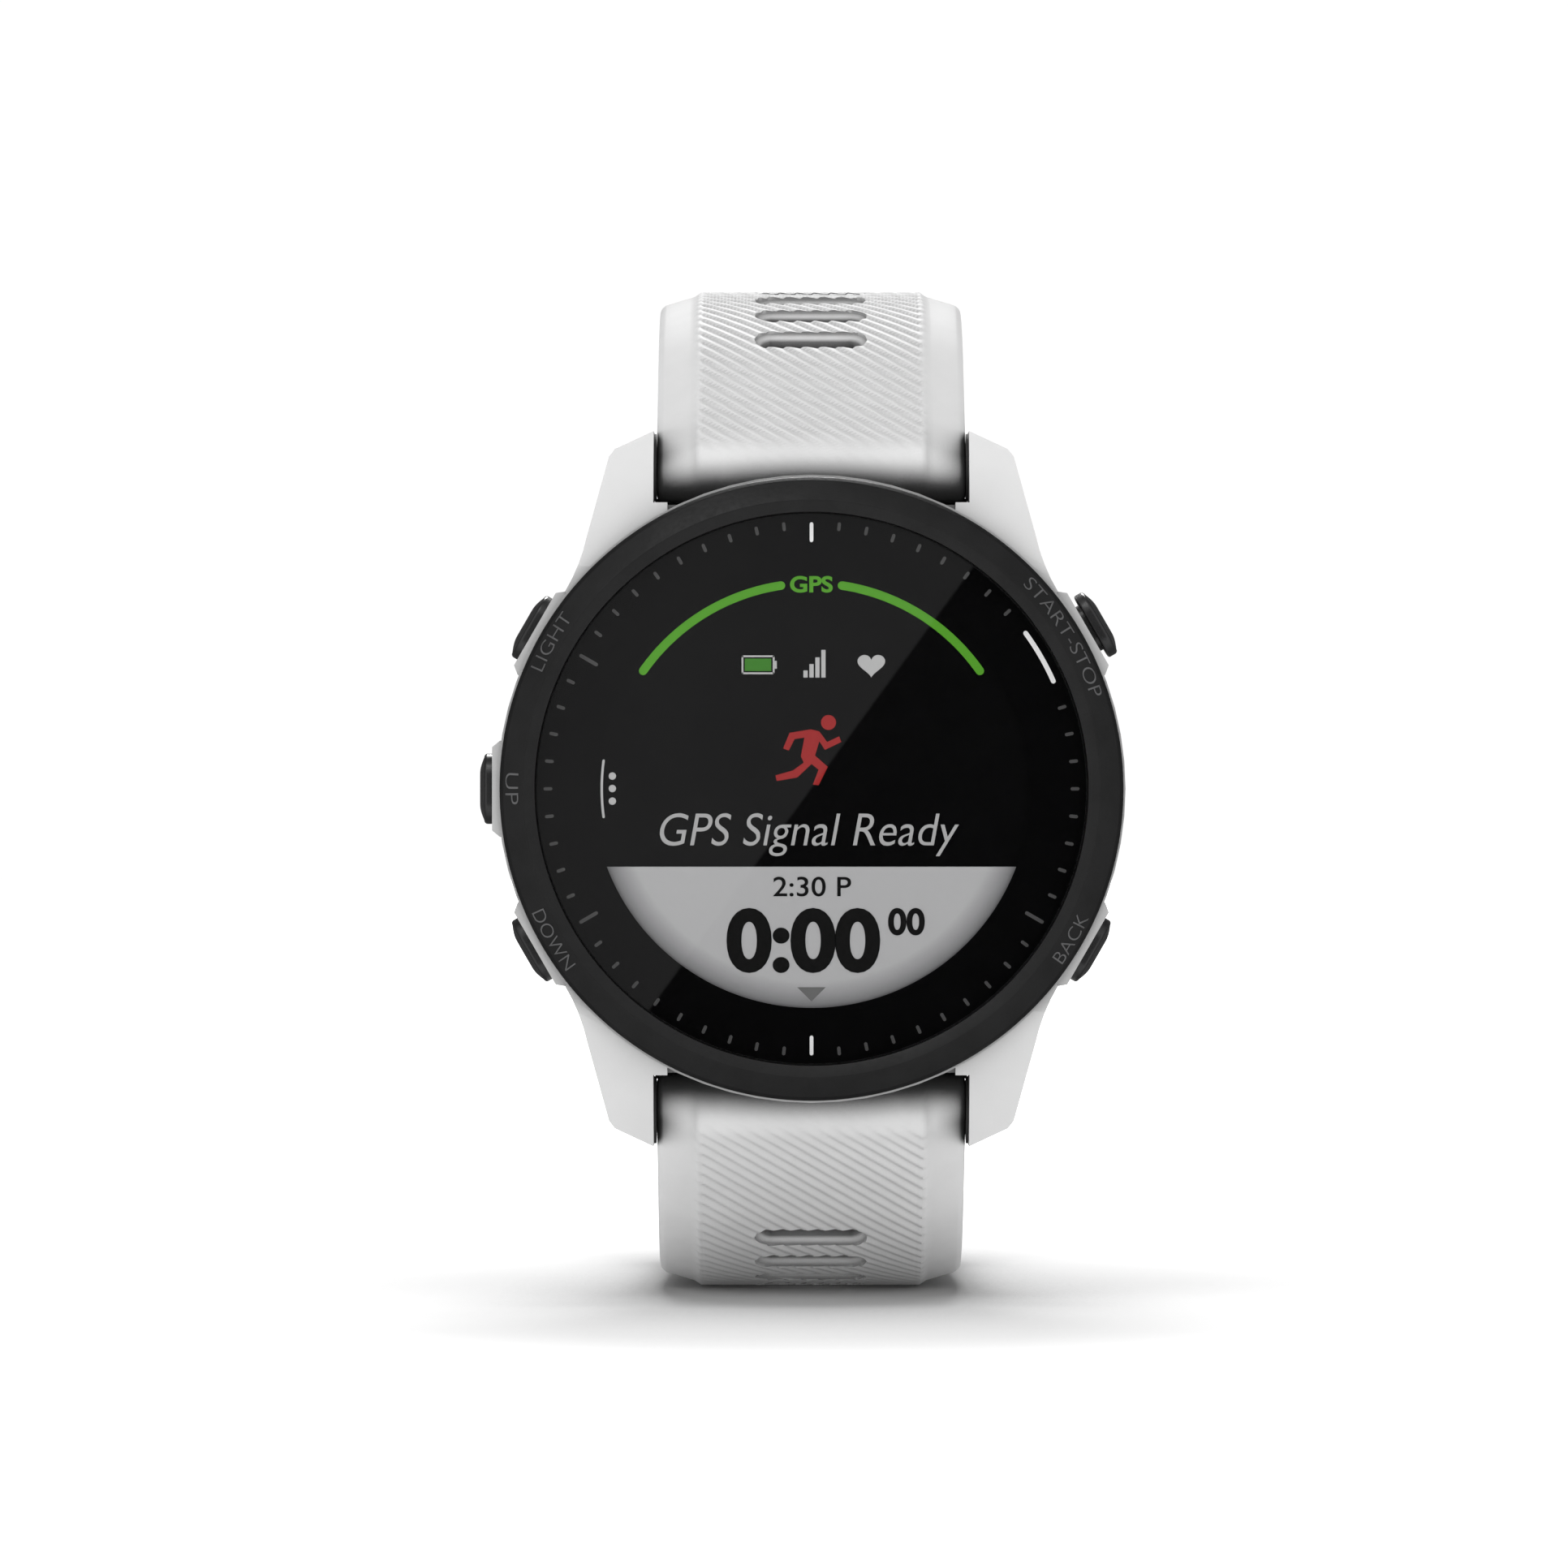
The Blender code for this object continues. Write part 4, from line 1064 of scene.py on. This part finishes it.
def add_buckle_eye(strap, path, to_row):
    """Rolled end that holds the buckle's pin, with a gap for the tongue."""
    hinge = strap_frame(path, path_length(path)) @ Matrix.Translation((0, 0, -STRAP_THICK / 2))
    eye = rounded([(0, -10.6), (1.6, -10.6), (1.6, 10.6), (0, 10.6)], (0, 0.3, 0.3, 0))
    cut(strap, moved(along_x(turned(eye, 64)), hinge), to_row, "UNION")
    cut(strap, moved(box((6.2, 6.4, 6.4), (0, 0.4, 0)), hinge), to_row)
    cut(strap, moved(along_x(disc(0.78, -12, 12)), hinge), to_row)


def rounded_box(half_x, half_z, radius, steps=8):
    """Outline of a rectangle with round corners, in (X, Z)."""
    points = []
    for k in range(4 * steps):
        angle = math.tau * (k + 0.5) / (4 * steps)
        x, z = math.cos(angle), math.sin(angle)
        across = math.copysign(half_x - radius, x) + radius * x
        points.append((across, math.copysign(half_z - radius, z) + radius * z))
    return points


def keeper(length, grooves):
    """Soft loop round the strap with rounded rims and shallow grooves round its outside."""
    half, wall, low, high = STRAP_HALF + 0.35, 1.1, -STRAP_THICK - 0.42, 3.2
    tall, middle = (high - low) / 2, (high + low) / 2
    end, soft = length / 2, 0.38
    turns = [math.pi / 2 * k / 5 for k in range(6)]
    outer = [(wall - soft * (1 - math.sin(t)), -end + soft * (1 - math.cos(t))) for t in turns]
    for y in grooves:
        outer += [(wall, y - 0.32), (wall - 0.16, y - 0.14), (wall - 0.16, y + 0.14), (wall, y + 0.32)]
    outer += [(wall - soft * (1 - math.sin(t)), end - soft * (1 - math.cos(t))) for t in reversed(turns)]
    rim = 0.22
    inner = [(rim * (1 - math.sin(t)), end - rim * (1 - math.cos(t))) for t in turns]
    inner += [(rim * (1 - math.sin(t)), -end + rim * (1 - math.cos(t))) for t in reversed(turns)]
    bm = bmesh.new()
    rows = []
    for grow, y in outer + inner:
        outline = rounded_box(half + grow, tall + grow, 0.5 + 0.75 * max(0.0, grow))
        rows.append([bm.verts.new((x, y, z + middle)) for x, z in outline])
    for near, far in zip(rows, rows[1:] + rows[:1]):
        for i in range(len(near)):
            j = (i + 1) % len(near)
            bm.faces.new((near[i], near[j], far[j], far[i]))
    return bm


def make_keepers():
    total = path_length(UPPER_PATH)
    fixed = moved(keeper(5.0, (0.0,)), strap_frame(UPPER_PATH, total - 8.0))
    piece("keeper_fixed_loop", fixed, SILICONE, "upper_strap", ["keeper_fixed"], 50)
    sliding = moved(keeper(6.0, (-1.1, 1.1)), strap_frame(UPPER_PATH, total - 16.0))
    piece("keeper_sliding_loop", sliding, SILICONE, "loop", ["keeper_sliding"], 50)


def make_lug_shade_fillers():
    """Thin dark discs on the lug pins, and a dark block in the corner behind each that shuts the gap by the
    case. They stand where the lugs' inner walls are in shade beside the strap, so they paint that shade.
    """
    low, high, radius = STRAP_HALF + 0.02, STRAP_HALF + 0.18, 2.4
    parts = []
    for side in (-1, 1):
        for end in (-1, 1):
            ring = turned([(PIN_HOLE, low), (radius, low), (radius, high), (PIN_HOLE, high)], 64, closed=True)
            spot = Matrix.Translation((0, side * PIN_Y, PIN_Z))
            parts.append(moved(ring, spot @ Matrix.Rotation(end * math.radians(90), 4, "Y")))
            parts.append(box((2.9, 1.25, 1.0), (end * 9.7, side * 20.1, 2.8)))
    # dark pieces standing in for the shade beside the strap
    piece("lug_shade_fillers", parts, RUBBER, "watch")


# ---------------------------------------------------------------- stage


def place_light(name, energy, size, place, aim=(0, 0, 0)):
    """Rectangular area light, in metres."""
    data = bpy.data.lights.new(name, "AREA")
    data.energy = energy
    data.shape = "RECTANGLE"
    data.size, data.size_y = size
    obj = bpy.data.objects.new(name, data)
    bpy.context.scene.collection.objects.link(obj)
    obj.location = place
    way = Vector(aim) - Vector(place)
    obj.rotation_euler = way.to_track_quat("-Z", "Y").to_euler()
    return obj


def staged(name, bm, material):
    mesh = bpy.data.meshes.new(name)
    bm.to_mesh(mesh)
    bm.free()
    mesh.materials.append(material)
    obj = bpy.data.objects.new(name, mesh)
    bpy.context.scene.collection.objects.link(obj)
    obj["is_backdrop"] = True
    return obj


def glow(name, strength):
    made, tree, shader = new_material(name)
    tree.nodes.remove(shader)
    light = tree.nodes.new("ShaderNodeEmission")
    light.inputs["Strength"].default_value = strength
    tree.links.new(light.outputs["Emission"], tree.nodes["Material Output"].inputs["Surface"])
    return made


def make_camera():
    camera = bpy.data.cameras.new("camera")
    camera.sensor_width = 36
    camera.lens = LENS_LENGTH
    camera.clip_start, camera.clip_end = 0.02, 20
    eye = bpy.data.objects.new("camera", camera)
    bpy.context.scene.collection.objects.link(eye)
    eye.location = EYE
    eye.rotation_euler = (math.radians(90), 0, 0)
    bpy.context.scene.camera = eye
    bpy.context.scene.view_settings.view_transform = "Standard"


def floor_material():
    """Pale floor that glows where nothing stands near, so that it fades to white round a soft shadow. Its
    glow is dimmed by occlusion near the watch and rises with distance from it, which paints part of that
    shadow; the lights cast the rest.
    """
    made, tree, shader = new_material("floor_finish")
    grain = noise_node(tree, 0.02, 2.0)
    pale = mix_colours(tree, map_range(tree, grain, 0, 1), (0.49, 0.49, 0.49), (0.51, 0.51, 0.51))
    tree.links.new(pale, shader.inputs["Base Color"])
    shader.inputs["Roughness"].default_value = 0.9
    shader.inputs["Specular IOR Level"].default_value = 0.0
    shader.inputs["Emission Color"].default_value = (1, 1, 1, 1)
    coords = tree.nodes.new("ShaderNodeTexCoord")
    reach = tree.nodes.new("ShaderNodeVectorMath")
    reach.operation = "LENGTH"
    tree.links.new(coords.outputs["Object"], reach.inputs[0])
    # painted shadow: occlusion near the watch dims the floor's glow
    contact = tree.nodes.new("ShaderNodeAmbientOcclusion")
    contact.samples = 16
    contact.inputs["Distance"].default_value = 0.07
    near = map_range(tree, contact.outputs["AO"], 0.0, NEAR_GLOW, 0.5, 1.0)
    far = map_range(tree, reach.outputs["Value"], 0, 0.7, 0.06, 0.2)
    tree.links.new(combined(tree, "ADD", near, far), shader.inputs["Emission Strength"])
    return made


def make_floor():
    ground = bmesh.new()
    under = Matrix.Translation((0, 0, FLOOR))
    bmesh.ops.create_circle(ground, cap_ends=True, segments=96, radius=FLOOR_RADIUS, matrix=under)
    staged("floor", ground, floor_material()).visible_glossy = False


def make_backdrop():
    """White dome that only the camera sees."""
    shell = bmesh.new()
    bmesh.ops.create_uvsphere(shell, u_segments=48, v_segments=24, radius=DOME_RADIUS)
    dome = staged("backdrop", shell, glow("backdrop_finish", 1.02))
    dome.visible_diffuse = False
    dome.visible_glossy = False
    dome.visible_transmission = False
    dome.visible_volume_scatter = False
    dome.visible_shadow = False


def make_room():
    """Soft room light, dark straight ahead of the dial but for the slanted edge of one bright pane."""
    world = bpy.data.worlds.new("studio")
    bpy.context.scene.world = world
    world.use_nodes = True
    tree = world.node_tree
    coords = tree.nodes.new("ShaderNodeTexCoord")

    def facing(way):
        made = tree.nodes.new("ShaderNodeVectorMath")
        made.operation = "DOT_PRODUCT"
        made.inputs[1].default_value = way
        tree.links.new(coords.outputs["Generated"], made.inputs[0])
        return made.outputs["Value"]

    front = facing((0, -1, 0))
    broad = map_range(tree, front, *ROOM_LIGHT, -0.1, 0.7)
    dim = map_range(tree, front, 1.0, 0.005, 0.9, 0.985)
    pane = map_range(tree, facing((-0.8074, 0, 0.59)), 0, 0.17, -0.0028, -0.0025)
    pane = combined(tree, "MULTIPLY", pane, map_range(tree, front, 0, 1, 0.985, 0.992))
    total = combined(tree, "ADD", combined(tree, "MULTIPLY", broad, dim), pane)
    tree.nodes["Background"].inputs["Color"].default_value = (1, 1, 1, 1)
    tree.links.new(total, tree.nodes["Background"].inputs["Strength"])


def make_stage():
    make_camera()
    make_floor()
    make_backdrop()
    make_room()
    place_light("key", KEY, (0.35, 0.35), (-0.22, -0.5, 0.62))
    place_light("rear", REAR, (0.28, 0.24), (0, 0.55, 0.55))
    low = place_light("low", LOW, (0.5, 0.06), (0, -0.5, -0.02), (0, 0, -0.02))
    low.visible_glossy = False


def finish_nodes():
    """CAD nodes that keep their own shape: material, and the bevel of their edges in millimetres."""
    plain = {
        "case_shell": (WHITE, 0.15),
        "lens_gasket": (RUBBER, 0),
        "display_panel": (SCREEN_BLACK, 0),
        "backlight_plate": (DIFFUSER, 0.1),
        "gps_antenna": (TIN, 0.08),
        "inner_chassis": (BLACK, 0.1),
        "main_board": (BOARD, 0.05),
        "processor_shield": (TIN, 0.1),
        "battery": (FOIL, 0.1),
        "buzzer": (BRASS, 0.15),
        "vibration_motor": (TIN, 0.1),
        "vibration_weight": (BRASS, 0.1),
        "rear_cover": (BLACK, 0.15),
        "rear_gasket": (RUBBER, 0),
        "sensor_window": (SENSOR_GLASS, 0.1),
        "sensor_board": (BOARD, 0.05),
        "red_led": (RED_LAMP, 0.08),
        "photodiode": (DIE, 0.08),
        "charge_socket": (BLACK, 0.08),
        "buckle_pin": (STEEL, 0.1),
        "buckle_frame": (STEEL, 0.4),
        "buckle_tongue": (STEEL, 0.2),
    }
    for side in ("left", "right"):
        plain["green_led_" + side] = (LAMP, 0.08)
    for half in ("upper", "lower"):
        plain["lug_pin_" + half] = (STEEL, 0.1)
        plain["latch_hook_" + half] = (STEEL, 0.1)
        plain["latch_tab_" + half] = (STEEL, 0.2)
    for name in BUTTONS:
        plain["button_seal_" + name] = (RUBBER, 0)
        plain["switch_" + name] = (TIN, 0.08)
    for number in range(1, 5):
        plain[f"rear_screw_{number}"] = (STEEL, 0.08)
        plain[f"charge_contact_{number}"] = (GOLD, 0.05)
    for node, (material, bevel) in plain.items():
        dress(node, material, bevel)


def main():
    make_stage()
    finish_nodes()
    make_bezel()
    make_lens()
    make_ticks()
    make_screen()
    make_buttons()
    make_keepers()
    make_lug_shade_fillers()
    make_strap("strap_upper_band", UPPER_PATH, 1, 7, "upper_strap", "strap_upper")
    make_strap("strap_lower_band", LOWER_PATH, -1, 21, "lower_strap", "strap_lower", taper_from=30.0)


main()

[[list(map(float, corner)) for corner in limits] for limits in (CAD_BOX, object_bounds())]
